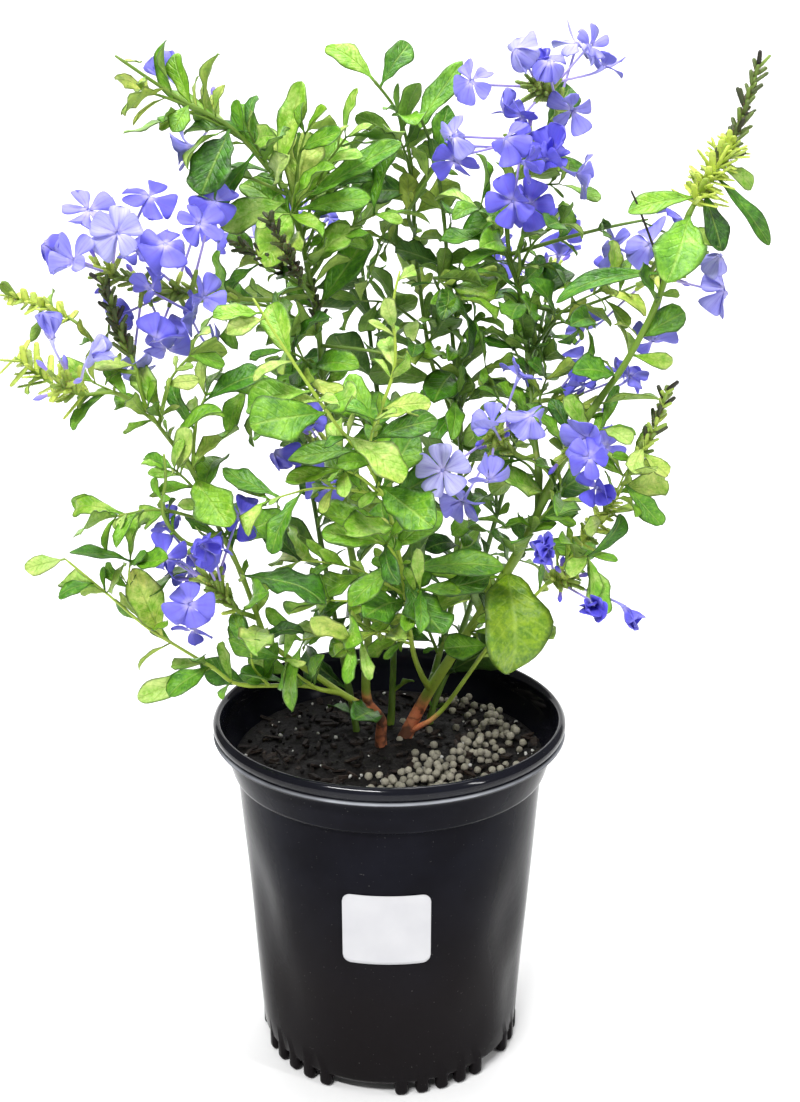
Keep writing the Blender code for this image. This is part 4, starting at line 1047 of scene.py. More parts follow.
def copy_in(bm, shape, matrix, tone):
    """Adds a copy of a small mesh, placed by the matrix, with its own tone."""
    copy = shape.copy()
    copy.transform(matrix)
    copy.attributes["tone"].data.foreach_set("value", [tone] * len(copy.vertices))
    bm.from_mesh(copy)
    bpy.data.meshes.remove(copy)


def metres(name, bm):
    """An object at the origin, in metres, from a mesh in millimetres."""
    bmesh.ops.transform(bm, matrix=Matrix.Scale(MM, 4), verts=bm.verts[:])
    mesh = mesh_of(name, bm)
    mesh.shade_smooth()
    return in_scene(name, mesh)


def dress(piece, slot, materials, *nodes):
    """Gives a piece its finishes, hangs it on the root body and hides the solids that it stands for."""
    for material in materials:
        piece.data.materials.append(material)
    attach(piece, "root")
    if nodes:
        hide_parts(*nodes)
    return piece


def sheet_wall(piece, thickness, back=0):
    """Gives a sheet its thickness, and its back the next finish if back is 1."""
    wall = piece.modifiers.new("Wall", "SOLIDIFY")
    wall.thickness = thickness * MM
    wall.offset = 0.0
    wall.material_offset = back
    wall.use_even_offset = False


# Leaves


def slim_outline(t):
    """Half width of a leaf at t, drawn in to a slim stalk at its root."""
    s = min(t / 0.3, 1.0)
    return blade_outline(t) * (0.3 + 0.7 * s * s * (3 - 2 * s))


def add_leaf(bm, layers, leaf, tint, ripe, pointed, draw):
    """A leaf as one curved sheet: folded at its midrib, waved along its edges, twisted and curled."""
    small = leaf.length < SMALL_LENGTH
    rows = SMALL_ROWS if small else BLADE_ROWS
    fold, twist = draw.uniform(0.04, 0.56), math.radians(draw.gauss(0, 30 if small else 18))
    curl, bow = draw.uniform(-0.5, 0.9), draw.gauss(0, 0.08)
    swing = draw.uniform(0.4, 1.7) * leaf.width / 16
    waves, start = draw.uniform(1.6, 3.6), draw.uniform(0, 6.28)
    ragged = draw.uniform(0.04, 0.17)
    bend = math.radians(leaf.droop)
    flat = leaf.axis.cross(leaf.face)
    corners = grid_corners(bm, 4 if small else 6, len(rows) - 1)
    for vert, u, row in corners:
        t = rows[row]
        phase = start + (1.9 if u > 0 else 0)
        half = leaf.width / 2 * slim_outline(t ** (1 - 0.3 * ripe))
        half *= 1 + ragged * math.sin(13 * t + 2 * phase)
        half *= 1 - pointed * max((t - 0.6) / 0.4, 0.0) ** 1.6 * (1 - 0.4 * t)
        half = max(half, 0.5 if small else 0.65) if t < 0.5 else half
        lean = twist * t
        upward = leaf.face * math.cos(bend * t) + leaf.axis * math.sin(bend * t)
        side = flat * math.cos(lean) + upward * math.sin(lean)
        normal = upward * math.cos(lean) - flat * math.sin(lean)
        rise = fold * half * abs(u) ** 1.5 - curl * leaf.length * max(t - 0.55, 0) ** 2
        rise += swing * math.sin(2 * math.pi * waves * t + phase) * abs(u) ** 3 * min(3 * t, 1)
        middle = blade_point(leaf, t, 0.0) + flat * (bow * leaf.length * t * t)
        vert.co = middle + side * (half * u) + normal * rise
        mark(vert, layers, along=t, across=u, tone=tint, ripe=ripe)
    merge(bm, corners)


def place_small_leaf(space, draw, stem, tube, share, way, length, broadest, droopiest):
    """Puts a leaf that only the looks have at this share of a tube."""
    width = length * draw.uniform(0.3, broadest)
    place_leaf(space, draw, stem, tube, share, way, length, width, draw.uniform(5, droopiest), margin=SLIM)


def place_shoots(space, stems):
    """Thin side shoots that carry small leaves out to the places in SHOOTS."""
    for name, targets in SHOOTS.items():
        draw = random.Random("shoots " + name)
        carrier = stems[name].tubes[0].points
        for target in targets:
            tip = Vector(target)
            share = max(nearest_share(carrier, tip) - 24 / length_of(carrier), 0.04)
            for attempt in range(SHOOT_TRIES):
                root, way = along(carrier, min(share + 0.012 * attempt, 1.0))
                sway = shaken(draw, 2 * attempt)
                end = tip + sway * 0.7
                reach = (end - root).length
                if reach < 10:
                    break
                middle = root.lerp(end, 0.5) + way * reach * 0.12 + sway
                shoot = Tube(*curved([root, middle, end], SHOOT_RADII, 4), SPRIG_SIDES)
                room = tube_mesh(shoot.points[1:], [radius + 0.2 for radius in shoot.radii[1:]], SPRIG_SIDES)
                if space.take(room, name, skip=name):
                    stems[name].tubes.append(shoot)
                    clothe_shoot(space, draw, stems[name], shoot)
                    break


def clothe_shoot(space, draw, stem, shoot):
    """Leaves up a side shoot, and a fan of them at its tip."""
    total = length_of(shoot.points)
    turn = draw.uniform(0, 360)
    at = 0.18 * total
    while at < total:
        way = leaning(draw, shoot, at / total, turn, 38, 66)
        place_small_leaf(space, draw, stem, shoot, at / total, way, draw.uniform(14, 34), 0.5, 60)
        turn += GOLDEN
        at += SHOOT_PITCH * draw.uniform(0.75, 1.25)
    axis = along(shoot.points, 1.0)[1]
    for index in range(3):
        length = draw.uniform(12, 31)
        way = (axis * draw.uniform(0.6, 1.4) + beside(axis, turn + 115 * index, TOWARD_VIEWER)).normalized()
        place_small_leaf(space, draw, stem, shoot, 0.995, way, length, 0.48, 60)


def place_tufts(space, stems):
    """Small leaves in the joints of the stems, wherever there is room for them."""
    for name, stem in stems.items():
        draw = random.Random("tufts " + name)
        turn = draw.uniform(0, 360)
        for index, tube in enumerate(stem.tubes):
            total = length_of(tube.points)
            at = (STEMS[name]["leaves"][0] * 0.8 if index == 0 else 0.1) * total
            last = total * (0.84 if STEMS[name].get("spike") and index == 0 else 0.93)
            while at < last:
                for _ in range(2):
                    way = leaning(draw, tube, at / total, turn, 30, 62)
                    length = draw.uniform(7, 20) * (1.0 if index == 0 else 0.85)
                    place_small_leaf(space, draw, stem, tube, at / total, way, length, 0.46, 45)
                    turn += GOLDEN
                at += TUFT_PITCH * draw.uniform(0.8, 1.2)


def make_leaves(stem, routes, finishes):
    """All the leaves of one stem and its sprigs, each rooted on the nearest of the smooth routes."""
    bm, layers = growth()
    draw = random.Random("blades " + stem.name)
    tones = TONES.get(stem.name, {})
    for index, leaf in enumerate(stem.leaves):
        root = min((on_route(places, leaf.root) for places, _ in routes),
                   key=lambda place: (place - leaf.root).length)
        young = 0.12 if leaf.length < SMALL_LENGTH else 0.0
        tint = YOUTH.get(stem.name, 0.3) + 0.2 * (leaf.root.z - 170) / 280 + young + draw.gauss(0, 0.18)
        tint = tones.get(index, tint)
        pointed = 0.5 if index in tones else draw.choice((0.0, 0.2, 0.45, 0.75))
        ripe = RIPE.get((stem.name, index), 0.0)
        add_leaf(bm, layers, leaf._replace(root=root), held(tint, 0.0, 0.82), ripe, pointed, draw)
    piece = metres(stem.name + "_leaves", bm)
    sheet_wall(piece, LEAF_THICK, back=1)
    return dress(piece, "foliage", finishes, stem.name)


# Stems


def smooth_routes(stem):
    """The routes of a stem and its sprigs, made smooth, each from inside what it grows out of."""
    routes = []
    for index, tube in enumerate(stem.tubes):
        points, radii = list(tube.points), list(tube.radii)
        if index == 0 and STEMS[stem.name]["parent"]:
            points.insert(0, Vector(STEMS[stem.name]["route"][0]))
            radii.insert(0, radii[0] * 1.1)
        routes.append(curved(points, radii, ROUTE_PARTS))
    return routes


def swollen(places, radii, roots):
    """The radii of a stem, thicker at the joints where its leaves grow."""
    grown = []
    for place, radius in zip(places, radii):
        near = min(((place - root).length for root in roots), default=99.0)
        grown.append(radius * (1 + SWELLING * math.exp(-((near / JOINT_REACH) ** 2))))
    return grown


def calyx_template():
    """One cup, 10 mm long and 1 mm in radius, with its ribs and its sticky glands, to be stretched."""
    bm, _ = growth()
    heights, radii = zip(*CALYX_RINGS)
    add_tube(bm, [UP * height for height in heights], radii, 10, ribs=0.1)
    for index in range(GLANDS):
        out = round_z(1, index * GOLDEN, 0.2).normalized()
        foot = Vector((out.x, out.y, 0.0)) * 0.8 + UP * (1.4 + 8.2 * index / GLANDS)
        gland = bmesh.ops.create_cone(bm, cap_ends=True, segments=3, radius1=0.07, radius2=0.15, depth=0.9,
                                      matrix=aimed(foot + out * 0.45, out))
        paint(gland["verts"], 1)
    return mesh_of("calyx", bm)


def add_calyx(bm, template, root, way, length, radius, tone, flat=1.0):
    """A calyx at this root, with its tone: 0 is green, and 1 is spent and brown. A bract is a flat one."""
    stretch = Matrix.Diagonal((radius * flat, radius / flat, length / CALYX_LENGTH, 1.0))
    copy_in(bm, template, aimed(root, way) @ stretch, tone)


def add_spike(bm, template, draw, points, places, start, end, count, length, tone):
    """Calyces set close together along a stretch of a route, rooted on its smooth places."""
    for index in range(count):
        root, axis = along(points, start + (end - start) * (index + 0.5) / count)
        rise = draw.uniform(-0.1, 1.0) if tone < 0.1 else draw.uniform(0.9, 1.8)
        way = (axis * rise + beside(axis, index * GOLDEN + 60)).normalized()
        size = length * (1.15 - 0.35 * index / count) * draw.uniform(0.6, 1.15)
        add_calyx(bm, template, on_route(places, root), way, size, draw.uniform(0.8, 1.1),
                  held(tone + draw.gauss(0, 0.1)), 1.7 if tone < 0.1 else 1.15)


def add_bark(bm, layers, name, places, radii, joints, dead):
    """One stem, shoot or twig, slimmer higher up and thicker at its joints."""
    slimmer = SLIMMER.get(name, 0.88)
    slimmed = []
    for k, (place, radius) in enumerate(zip(places, radii)):
        slim = slimmer + (1 - slimmer) * math.exp(min(150 - place.z, 0) / 22)
        slimmed.append(radius * slim * (1 - 0.35 * k / len(places)))
    wide = swollen(places, slimmed, joints)
    wide[-1] *= 0.7
    rolled = add_tube(bm, places, wide, 12 if wide[0] > 1.5 else 8)
    for vert, row in rolled:
        bark = held((BARK_TOP.get(name, 130) - places[row].z) / BARK_FADE + 0.3)
        mark(vert, layers, tone=max(bark, dead), across=PALE_STEMS.get(name, YOUTH.get(name, 0.3) * 0.84))
    paint([vert for vert, _ in rolled], 0 if dead else 2)


def make_wood(stem, routes, template, finishes):
    """The stem, its shoots and bare twigs, and the calyces that stand on it."""
    bm, layers = growth()
    name = stem.name
    draw = random.Random("spent " + name)
    joints = [leaf.root for leaf in stem.leaves if leaf.length > SMALL_LENGTH]
    for places, radii in routes:
        add_bark(bm, layers, name, places, radii, joints, 0.0)
    for carrier, route, radius, dead, cups in TWIGS:
        if carrier == name:
            places, radii = curved([Vector(p) for p in route], [radius] * len(route), 5)
            add_bark(bm, layers, name, places, radii, joints, dead)
            add_spike(bm, template, draw, places, places, 0.4, 1.0, cups, 7.5, 0.72)
    for bud in stem.buds:
        add_calyx(bm, template, bud.root, bud.axis, bud.length, 1.0, draw.uniform(0.6, 1.0))
    for index, *row in SPIKES.get(name, ()):
        add_spike(bm, template, draw, stem.tubes[index].points, routes[index][0], *row)
    return dress(metres(name + "_wood", bm), "foliage", finishes, name)


# Flower heads


def petal_outline(t):
    """Half width of a petal at t, from its claw at 0 to its round end at 1."""
    if t < 0.8:
        return 0.14 + 0.86 * math.sin(math.pi / 2 * t / 0.8) ** 1.4
    return max(1 - ((t - 0.8) / 0.2) ** 3, 0.0) ** 0.4


def add_limb(bm, layers, floret, opened, wide, tone, draw):
    """The five petals of a blossom. They stand up from flat by an angle, or are turned back by it."""
    stand = aimed(floret.throat, floret.face)
    broad = 0.48 if wide else draw.uniform(0.38, 0.5)
    unlike = 0.3 if wide else 1.0
    for petal in range(PETALS):
        out = round_z(1, PETAL_TURN * (petal + 0.5) + floret.turn + draw.gauss(0, 5) * unlike)
        side = out.cross(UP)
        length = max(floret.size, HALF_OPEN) * (0.85 if wide else draw.uniform(0.72, 0.92))
        width = length * broad * (1 + draw.uniform(-0.15, 0.15) * unlike)
        rise = math.radians(opened + draw.gauss(0, 15) * unlike)
        bend = math.radians(draw.gauss(-16, 32) * unlike)
        roll, fold = draw.gauss(0, 0.5), draw.uniform(-0.45, 0.6)
        swing, start = draw.uniform(0.2, 0.9), draw.uniform(0, 6.28)
        ruffle, curls = draw.uniform(0.1, 0.75), draw.uniform(3, 7)
        corners = grid_corners(bm, 4, len(PETAL_ROWS) - 1)
        for vert, u, row in corners:
            t = PETAL_ROWS[row]
            half = width * petal_outline(t)
            lean = rise + bend * t / 2
            height = roll * half * u * t + swing * math.sin(5 * t + start + u) * abs(u)
            height += fold * half * abs(u) ** 1.2
            height += ruffle * math.sin(curls * u + start) * t ** 3
            spot = out * (0.8 + length * t * math.cos(lean) - height * math.sin(lean)) + side * (half * u)
            vert.co = stand @ (spot + UP * (0.3 + length * t * math.sin(lean) + height * math.cos(lean)))
            mark(vert, layers, along=t, across=u, tone=tone)
        merge(bm, corners)


def fill_heads(space, heads):
    """More blossoms between those that the solids have, wherever there is room."""
    for name, count in FULLNESS.items():
        draw = random.Random("fill " + name)
        head = heads[name]
        middles = [floret.throat for floret in head.florets]
        centre = sum(middles, Vector()) / len(middles) + Vector(FULL_SHIFT.get(name, (0, 0, 0)))
        for _ in range(count):
            for _ in range(FILL_TRIES):
                throat = draw.choice(middles).lerp(centre, draw.uniform(0.1, 0.9)) + strewn(draw, 5)
                root = along(head.stalk.points, draw.uniform(0.3, 1.0))[0]
                away = (throat - centre).normalized()
                face = away * 0.8 + TOWARD_VIEWER * draw.uniform(-0.2, 1.1) + UP * 0.3
                face = (face + strewn(draw, 0.4)).normalized()
                half_open = draw.random() < 0.45
                size = HALF_OPEN - 1 if half_open else draw.uniform(HALF_OPEN + 0.5, 11.0)
                reach = (throat - root).length
                if not 14 < reach < 40 or face.dot(throat - root) < 0.2 * reach:
                    continue
                height, narrow, broad = (7, 1.4, 5.5) if half_open else (1.2, size * 0.8, size * 0.8)
                if space.take(cone_mesh(throat, throat + face * height, narrow, broad, 7), name):
                    head.florets.append(Floret(root, throat, face, draw.uniform(0, PETAL_TURN), size))
                    break


def ruffle(heads):
    """Turns every blossom a little."""
    draw = random.Random("ruffle")
    for name, head in heads.items():
        for index, floret in enumerate(head.florets):
            face = floret.face + strewn(draw, 0.32)
            if (name, index) in WIDE_OPEN:
                face = floret.face * 0.5 + TOWARD_VIEWER
            head.florets[index] = floret._replace(face=face.normalized())


def corolla_route(floret):
    """The places of a corolla tube, which leaves along its calyx and turns to face as its limb does."""
    way = (floret.throat - floret.root).normalized()
    reach = (floret.throat - floret.root).length
    first, second = floret.root + way * 2, floret.root + way * reach * 0.6
    third, last = floret.throat - floret.face * reach * 0.16, floret.throat
    places = []
    for step in range(len(COROLLA_RADII)):
        t = step / (len(COROLLA_RADII) - 1)
        places.append(first * (1 - t) ** 3 + second * 3 * t * (1 - t) ** 2
                      + third * 3 * t * t * (1 - t) + last * t ** 3)
    return places


def paint_tube(bm, layers, places, radii, tone):
    """A tube of petal stuff, which is the third finish of its piece."""
    rolled = add_tube(bm, places, radii, 8)
    for vert, row in rolled:
        mark(vert, layers, tone=tone, along=row / (len(places) - 1), across=0.6)
    paint([vert for vert, _ in rolled], 2)


def add_bud(bm, layers, template, bud, tone):
    """A closed bud that stands out of its calyx."""
    cup = bud.length * 0.62
    add_calyx(bm, template, bud.root, bud.axis, cup, 1.05, 0.1)
    rest, steps = bud.length - cup * 0.8, len(BUD_RADII) - 1
    places = [bud.root + bud.axis * (cup * 0.8 + rest * k / steps) for k in range(steps + 1)]
    paint_tube(bm, layers, places, BUD_RADII, tone)


def make_petals(head, finishes):
    """The open limbs of one flower head."""
    bm, layers = growth()
    name = head.name
    draw = random.Random("limbs " + name)
    for index, floret in enumerate(head.florets):
        tone = TONES.get(name, {}).get(index, held(VIOLET[name] + draw.gauss(0, 0.17)))
        wide = (name, index) in WIDE_OPEN
        opened = 4.0 if wide else draw.choice((-48, -28, -8, 10, 26)) + draw.gauss(0, 8)
        if name in HALF_CLOSED or floret.size < HALF_OPEN:
            opened = draw.uniform(*HALF_CLOSED.get(name, (35, 66)))
        add_limb(bm, layers, floret, opened, wide, tone, draw)
    piece = metres(name + "_petals", bm)
    sheet_wall(piece, PETAL_THICK)
    return dress(piece, "petals", finishes, name)


def make_stalks(head, template, finishes):
    """What carries the limbs of one head: its stalk, calyces, corolla tubes and closed buds."""
    bm, layers = growth()
    name = head.name
    draw = random.Random("stalks " + name)
    points = [Vector(HEADS[name]["route"][0])] + head.stalk.points
    radii = [1.3 - 0.35 * k / len(points) for k in range(len(points))]
    places, radii = curved(points, radii, ROUTE_PARTS)
    radii[-1] *= 0.6
    for vert, _ in add_tube(bm, places, radii, 8):
        mark(vert, layers, tone=0.25)
    for floret in head.florets:
        root = on_route(places, floret.root)
        way = (floret.throat - root).normalized()
        add_calyx(bm, template, root, way, draw.uniform(9.5, 11.5), 1.1, draw.uniform(0.0, 0.3))
        paint_tube(bm, layers, corolla_route(floret._replace(root=root)), COROLLA_RADII, VIOLET[name] * 0.45)
    for bud in head.buds:
        rooted = bud._replace(root=on_route(places, bud.root))
        add_bud(bm, layers, template, rooted, min(VIOLET[name] + 0.3, 1.0))
    count = 6 + 2 * len(head.florets)
    for index in range(count):
        root, axis = along(places, 0.35 + 0.65 * (index + 0.5) / count)
        way = (axis + beside(axis, index * GOLDEN + 30) * draw.uniform(0.4, 0.9)).normalized()
        add_calyx(bm, template, root, way, draw.uniform(6.5, 10), 0.95, draw.uniform(0.05, 0.35))
    return dress(metres(name + "_stalks", bm), "foliage", finishes, name)


# Pot, label and mix


def dent(place):
    """How far the pot's thin lower wall is pressed in at this place."""
    turn = math.degrees(math.atan2(place.y, place.x))
    depth = 0.0
    for middle, height, deep, broad, tall in DENTS:
        off = (turn - middle + 180) % 360 - 180
        depth += deep * math.exp(-((off / broad) ** 2) - ((place.z - height) / tall) ** 2)
    return depth


def spun(profile, steps):
    """A closed shape turned about +Z from (radius, height) corners that start and end on the axis."""
    bm = bmesh.new()
    verts = [bm.verts.new((radius, 0.0, height)) for radius, height in profile]
    edges = [bm.edges.new(pair) for pair in zip(verts, verts[1:])]
    bmesh.ops.spin(bm, geom=verts + edges, cent=(0, 0, 0), axis=(0, 0, 1), dvec=(0, 0, 0),
                   angle=2 * math.pi, steps=steps, use_merge=True)
    bmesh.ops.remove_doubles(bm, verts=bm.verts[:], dist=1e-4)
    bmesh.ops.recalc_face_normals(bm, faces=bm.faces[:])
    return bm


def stepped(start, end):
    """The corners of a wall in short steps."""
    return [tuple(a + (b - a) * k / WALL_PARTS for a, b in zip(start, end)) for k in range(WALL_PARTS + 1)]


def pot_profile():
    """Inside floor, inside wall, rim, step ring, outside wall, base and foot."""
    floor, rim_foot = FLOOR_UNDERSIDE + FLOOR, POT_HEIGHT - RIM_DEPTH
    inside = [(0, floor), (FOOT_RADIUS, floor), (FLOOR_RING, floor)]
    inside += stepped((wall_radius(floor) - WALL, floor), (STEP_RADIUS - WALL, STEP_HEIGHT))
    inside += [(collar_radius(height), height) for height in (COLLAR_BEND, rim_foot)]
    corners = [Vector((RIM_RADIUS - RIM_THICK, rim_foot, 0))]
    corners += [Vector((RIM_RADIUS - inset, POT_HEIGHT - drop, 0)) for inset, drop in RIM_ROLL]
    run, _ = curved(corners, [0] * len(corners), 4)
    rim = [(place.x, place.y) for place in run[1:]]
    ring = [(STEP_RADIUS + out, STEP_HEIGHT + up) for out, up in STEP_RING]
    outside = stepped((STEP_RADIUS, STEP_HEIGHT), (BASE_RADIUS + 1, BASE_HEIGHT))
    base = [(BASE_RADIUS + 0.6, BASE_HEIGHT - 1.2), (BASE_RADIUS - 0.6, FLOOR_UNDERSIDE),
            (FLOOR_RING, FLOOR_UNDERSIDE), (FOOT_RADIUS + 2, FLOOR_UNDERSIDE), (FOOT_RADIUS + 0.6, 0.6),
            (FOOT_RADIUS - 0.4, 0), (0, 0)]
    return inside + rim + ring + outside + base


def lug_mesh(degrees):
    """One of the small rounded feet under the wall, which it leaves flush."""
    bm = bmesh.new()
    bmesh.ops.create_cube(bm, size=1.0)
    bmesh.ops.transform(bm, matrix=Matrix.Diagonal((*LUG_SIZE, 1)), verts=bm.verts[:])
    bmesh.ops.bevel(bm, geom=bm.edges[:], offset=LUG_ROUND, offset_type="OFFSET", segments=4, profile=0.5,
                    affect="EDGES", material=-1)
    turn = Matrix.Rotation(math.radians(degrees), 4, "Z")
    place = Matrix.Translation((LUG_RING, 0, LUG_SIZE[2] / 2))
    bmesh.ops.transform(bm, matrix=turn @ place, verts=bm.verts[:])
    return bm


def cut(piece, shapes, operation):
    """Joins the shapes to a piece, or cuts them from it, and removes them."""
    helpers = bpy.data.collections.new("helpers")
    bpy.context.scene.collection.children.link(helpers)
    for bm in shapes:
        shape = metres("helper", bm)
        bpy.context.scene.collection.objects.unlink(shape)
        helpers.objects.link(shape)
    boolean = piece.modifiers.new("Boolean", "BOOLEAN")
    boolean.operation = operation
    boolean.operand_type = "COLLECTION"
    boolean.collection = helpers
    boolean.solver = "MANIFOLD"
    joined = final_mesh(piece)
    joined.materials.clear()
    piece.modifiers.clear()
    piece.data = joined
    for shape in list(helpers.objects):
        bpy.data.objects.remove(shape)
    bpy.data.collections.remove(helpers)


def make_pot(finish):
    bm = spun(pot_profile(), POT_SIDES)
    for vert in bm.verts:
        ring = math.hypot(vert.co.x, vert.co.y)
        if ring > BASE_RADIUS - 4 and vert.co.z < STEP_HEIGHT - 4:
            inward = Vector((vert.co.x, vert.co.y, 0)) / ring
            vert.co -= inward * dent(vert.co)
    pot = metres("pot_shell", bm)
    steps = [(index - (LUGS_A_GROUP - 1) / 2) * LUG_PITCH for index in range(LUGS_A_GROUP)]
    cut(pot, [lug_mesh(middle + step - 90) for middle in LUG_GROUPS for step in steps], "UNION")
    drains = []
    for index in range(DRAIN_HOLES):
        place = round_z(DRAIN_RING, index * 360 / DRAIN_HOLES + 15)
        drains.append(cone_mesh(place + UP * 3, place + UP * 12, DRAIN_RADIUS, DRAIN_RADIUS, 24))
    cut(pot, drains, "DIFFERENCE")
    pot.data.shade_smooth()
    pot.data.set_sharp_from_angle(angle=math.radians(42))
    return dress(pot, "pot_plastic", [finish], "pot")


def make_label(finish):
    """A blank sticker with round corners, pressed onto the wall."""
    bm = bmesh.new()
    for vert in bmesh.ops.create_grid(bm, x_segments=26, y_segments=22, size=1.0)["verts"]:
        u, v = vert.co.x, vert.co.y
        u = math.copysign(1 - (1 - abs(u)) ** 1.5, u)
        run = u * LABEL_WIDTH / 2
        into = max(abs(run) - (LABEL_WIDTH / 2 - LABEL_CORNER), 0)
        half = LABEL_HEIGHT / 2 - LABEL_CORNER + math.sqrt(max(LABEL_CORNER ** 2 - into ** 2, 0.0))
        z = LABEL_MIDDLE[1] + half * v
        lift = 0.22 + 0.25 * (abs(u) ** 10 + abs(v) ** 10) + 0.05 * noise.noise(Vector((run, z, 0)) * 0.2)
        radius = wall_radius(z) + lift
        turn = (LABEL_MIDDLE[0] + run) / radius - math.pi / 2
        vert.co = (radius * math.cos(turn), radius * math.sin(turn), z)
    piece = metres("label_sheet", bm)
    sheet_wall(piece, LABEL_THICK)
    return dress(piece, "label_paper", [finish], "label")


def make_bed(finish):
    """The peat, rough on top and closed below."""
    floor = FLOOR_UNDERSIDE + FLOOR + CLEAR
    brim = collar_radius(SOIL_TOP - 1) - CLEAR
    profile = [(brim * k / SOIL_RINGS, soil_height(brim * k / SOIL_RINGS)) for k in range(SOIL_RINGS + 1)]
    profile += [(STEP_RADIUS - WALL - 0.8, STEP_HEIGHT - 3), (66.0, 110),
                (wall_radius(floor) - WALL - 3.4, floor), (0, floor)]
    feet = [Vector(spec["route"][1]).xy for spec in STEMS.values() if spec["parent"] is None]
    bm = spun(profile, SOIL_SIDES)
    for vert in bm.verts:
        if vert.co.z > SOIL_TOP - 2:
            vert.co.z += 2.2 * max(math.exp(-(((vert.co.xy - foot).length / 7) ** 2)) for foot in feet)
            rough = 1.1 * noise.noise(vert.co * 0.16) + 0.8 * noise.noise(vert.co * 0.45)
            rough += 0.45 * noise.noise(vert.co * 1.3)
            vert.co.z += rough * min((brim - math.hypot(vert.co.x, vert.co.y)) / 3 + 0.3, 1.0)
    return dress(metres("soil_bed", bm), "potting_mix", [finish], "soil")


def lumps(kind, count, seed):
    """A few rough shapes about 1 mm across, to be scattered: chips are flat, and grains are round."""
    draw = random.Random(seed)
    made = []
    for _ in range(count):
        bm, _ = growth()
        if kind == "chip":
            bmesh.ops.create_cube(bm, size=1.0)
            bmesh.ops.bevel(bm, geom=bm.edges[:], offset=0.14, offset_type="OFFSET", segments=1, profile=0.5,
                            affect="EDGES", material=-1)
        elif kind == "prill":
            bmesh.ops.create_uvsphere(bm, u_segments=8, v_segments=6, radius=0.5)
        else:
            bmesh.ops.create_icosphere(bm, subdivisions=1, radius=0.5)
        for vert in bm.verts:
            vert.co += shaken(draw, {"chip": 0.14, "prill": 0.03}.get(kind, 0.16))
        made.append(mesh_of(kind, bm))
    return made


def scatter(name, shapes, rows, finish, smooth=True):
    """Copies of the shapes as one piece. A row is (place, size, lean)."""
    bm, _ = growth()
    draw = random.Random("scatter " + name)
    for place, size, lean in rows:
        turn = Matrix.Rotation(draw.uniform(0, 6.28), 4, "Z")
        tip = Matrix.Rotation(lean, 4, Vector((draw.uniform(-1, 1), draw.uniform(-1, 1), 0.1)).normalized())
        matrix = Matrix.Translation(place) @ tip @ turn @ Matrix.Diagonal((*size, 1.0))
        copy_in(bm, draw.choice(shapes), matrix, draw.random())
    piece = metres(name, bm)
    if not smooth:
        piece.data.shade_flat()
    return dress(piece, "potting_mix", [finish])


def on_bed(draw):
    """A random place on the mix."""
    ring, turn = 70.0 * math.sqrt(draw.random()), draw.uniform(0, 2 * math.pi)
    return Vector((ring * math.cos(turn), ring * math.sin(turn), soil_height(ring)))


def heaped_prills():
    """Places for the prills: each lies on the mix or on those that lie there already."""
    draw = random.Random("heaps")
    apart = 2 * PRILL_SIZE - 0.2
    settled = [Vector((place.x, place.y, soil_height(place.length) + 1.2)) for place in prill_places()]
    for x, y, spread, count in PRILL_HEAPS:
        for _ in range(count):
            for _ in range(40):
                place = Vector((draw.gauss(x, spread), draw.gauss(y, spread), 0))
                if place.length > BED_REACH:
                    continue
                place.z = soil_height(place.length) + 1.1
                near = [other for other in settled if (other - place).xy.length < apart]
                for other in sorted(near, key=lambda o: o.z):
                    flat = (other - place).xy.length
                    place.z = max(place.z, other.z + math.sqrt(max(apart ** 2 - flat ** 2, 0.0)))
                if place.z < soil_height(place.xy.length) + 6:
                    settled.append(place)
                    break
    return settled


def make_mix(bark, crumb, perlite, prill):
    """What lies on the peat: bark, crumbs, perlite and fertiliser prills."""
    draw = random.Random("mix")
    rows = [(on_bed(draw) + UP * draw.uniform(0, 1.2),
             (draw.uniform(2.5, 9), draw.uniform(1.2, 3.6), draw.uniform(0.6, 1.6)), draw.uniform(0, 0.6))
            for _ in range(240)]
    scatter("bark_bits", lumps("chip", 5, "bark"), rows, bark, smooth=False)
    rows = [(on_bed(draw) + UP * draw.uniform(0, 0.9), [draw.uniform(0.8, 3.2)] * 3, draw.uniform(0, 3))
            for _ in range(620)]
    scatter("crumbs", lumps("grain", 6, "crumbs"), rows, crumb)
    rows = [(on_bed(draw) + UP * 0.7, [draw.uniform(0.5, 2.2)] * 3, draw.uniform(0, 3)) for _ in range(90)]
    scatter("perlite", lumps("grain", 6, "perlite"), rows, perlite)
    rows = [(place, [2 * PRILL_SIZE * draw.uniform(0.88, 1.06)] * 3, draw.uniform(0, 3))
            for place in heaped_prills()]
    scatter("prills", lumps("prill", 4, "prills"), rows, prill)


# Finishes


def shown(*colour):
    """A colour from how it looks on a screen, 0 to 255 each, as the shader takes it."""
    return (*(((c / 255 + 0.055) / 1.055) ** 2.4 if c > 10 else c / 3295 for c in colour), 1.0)


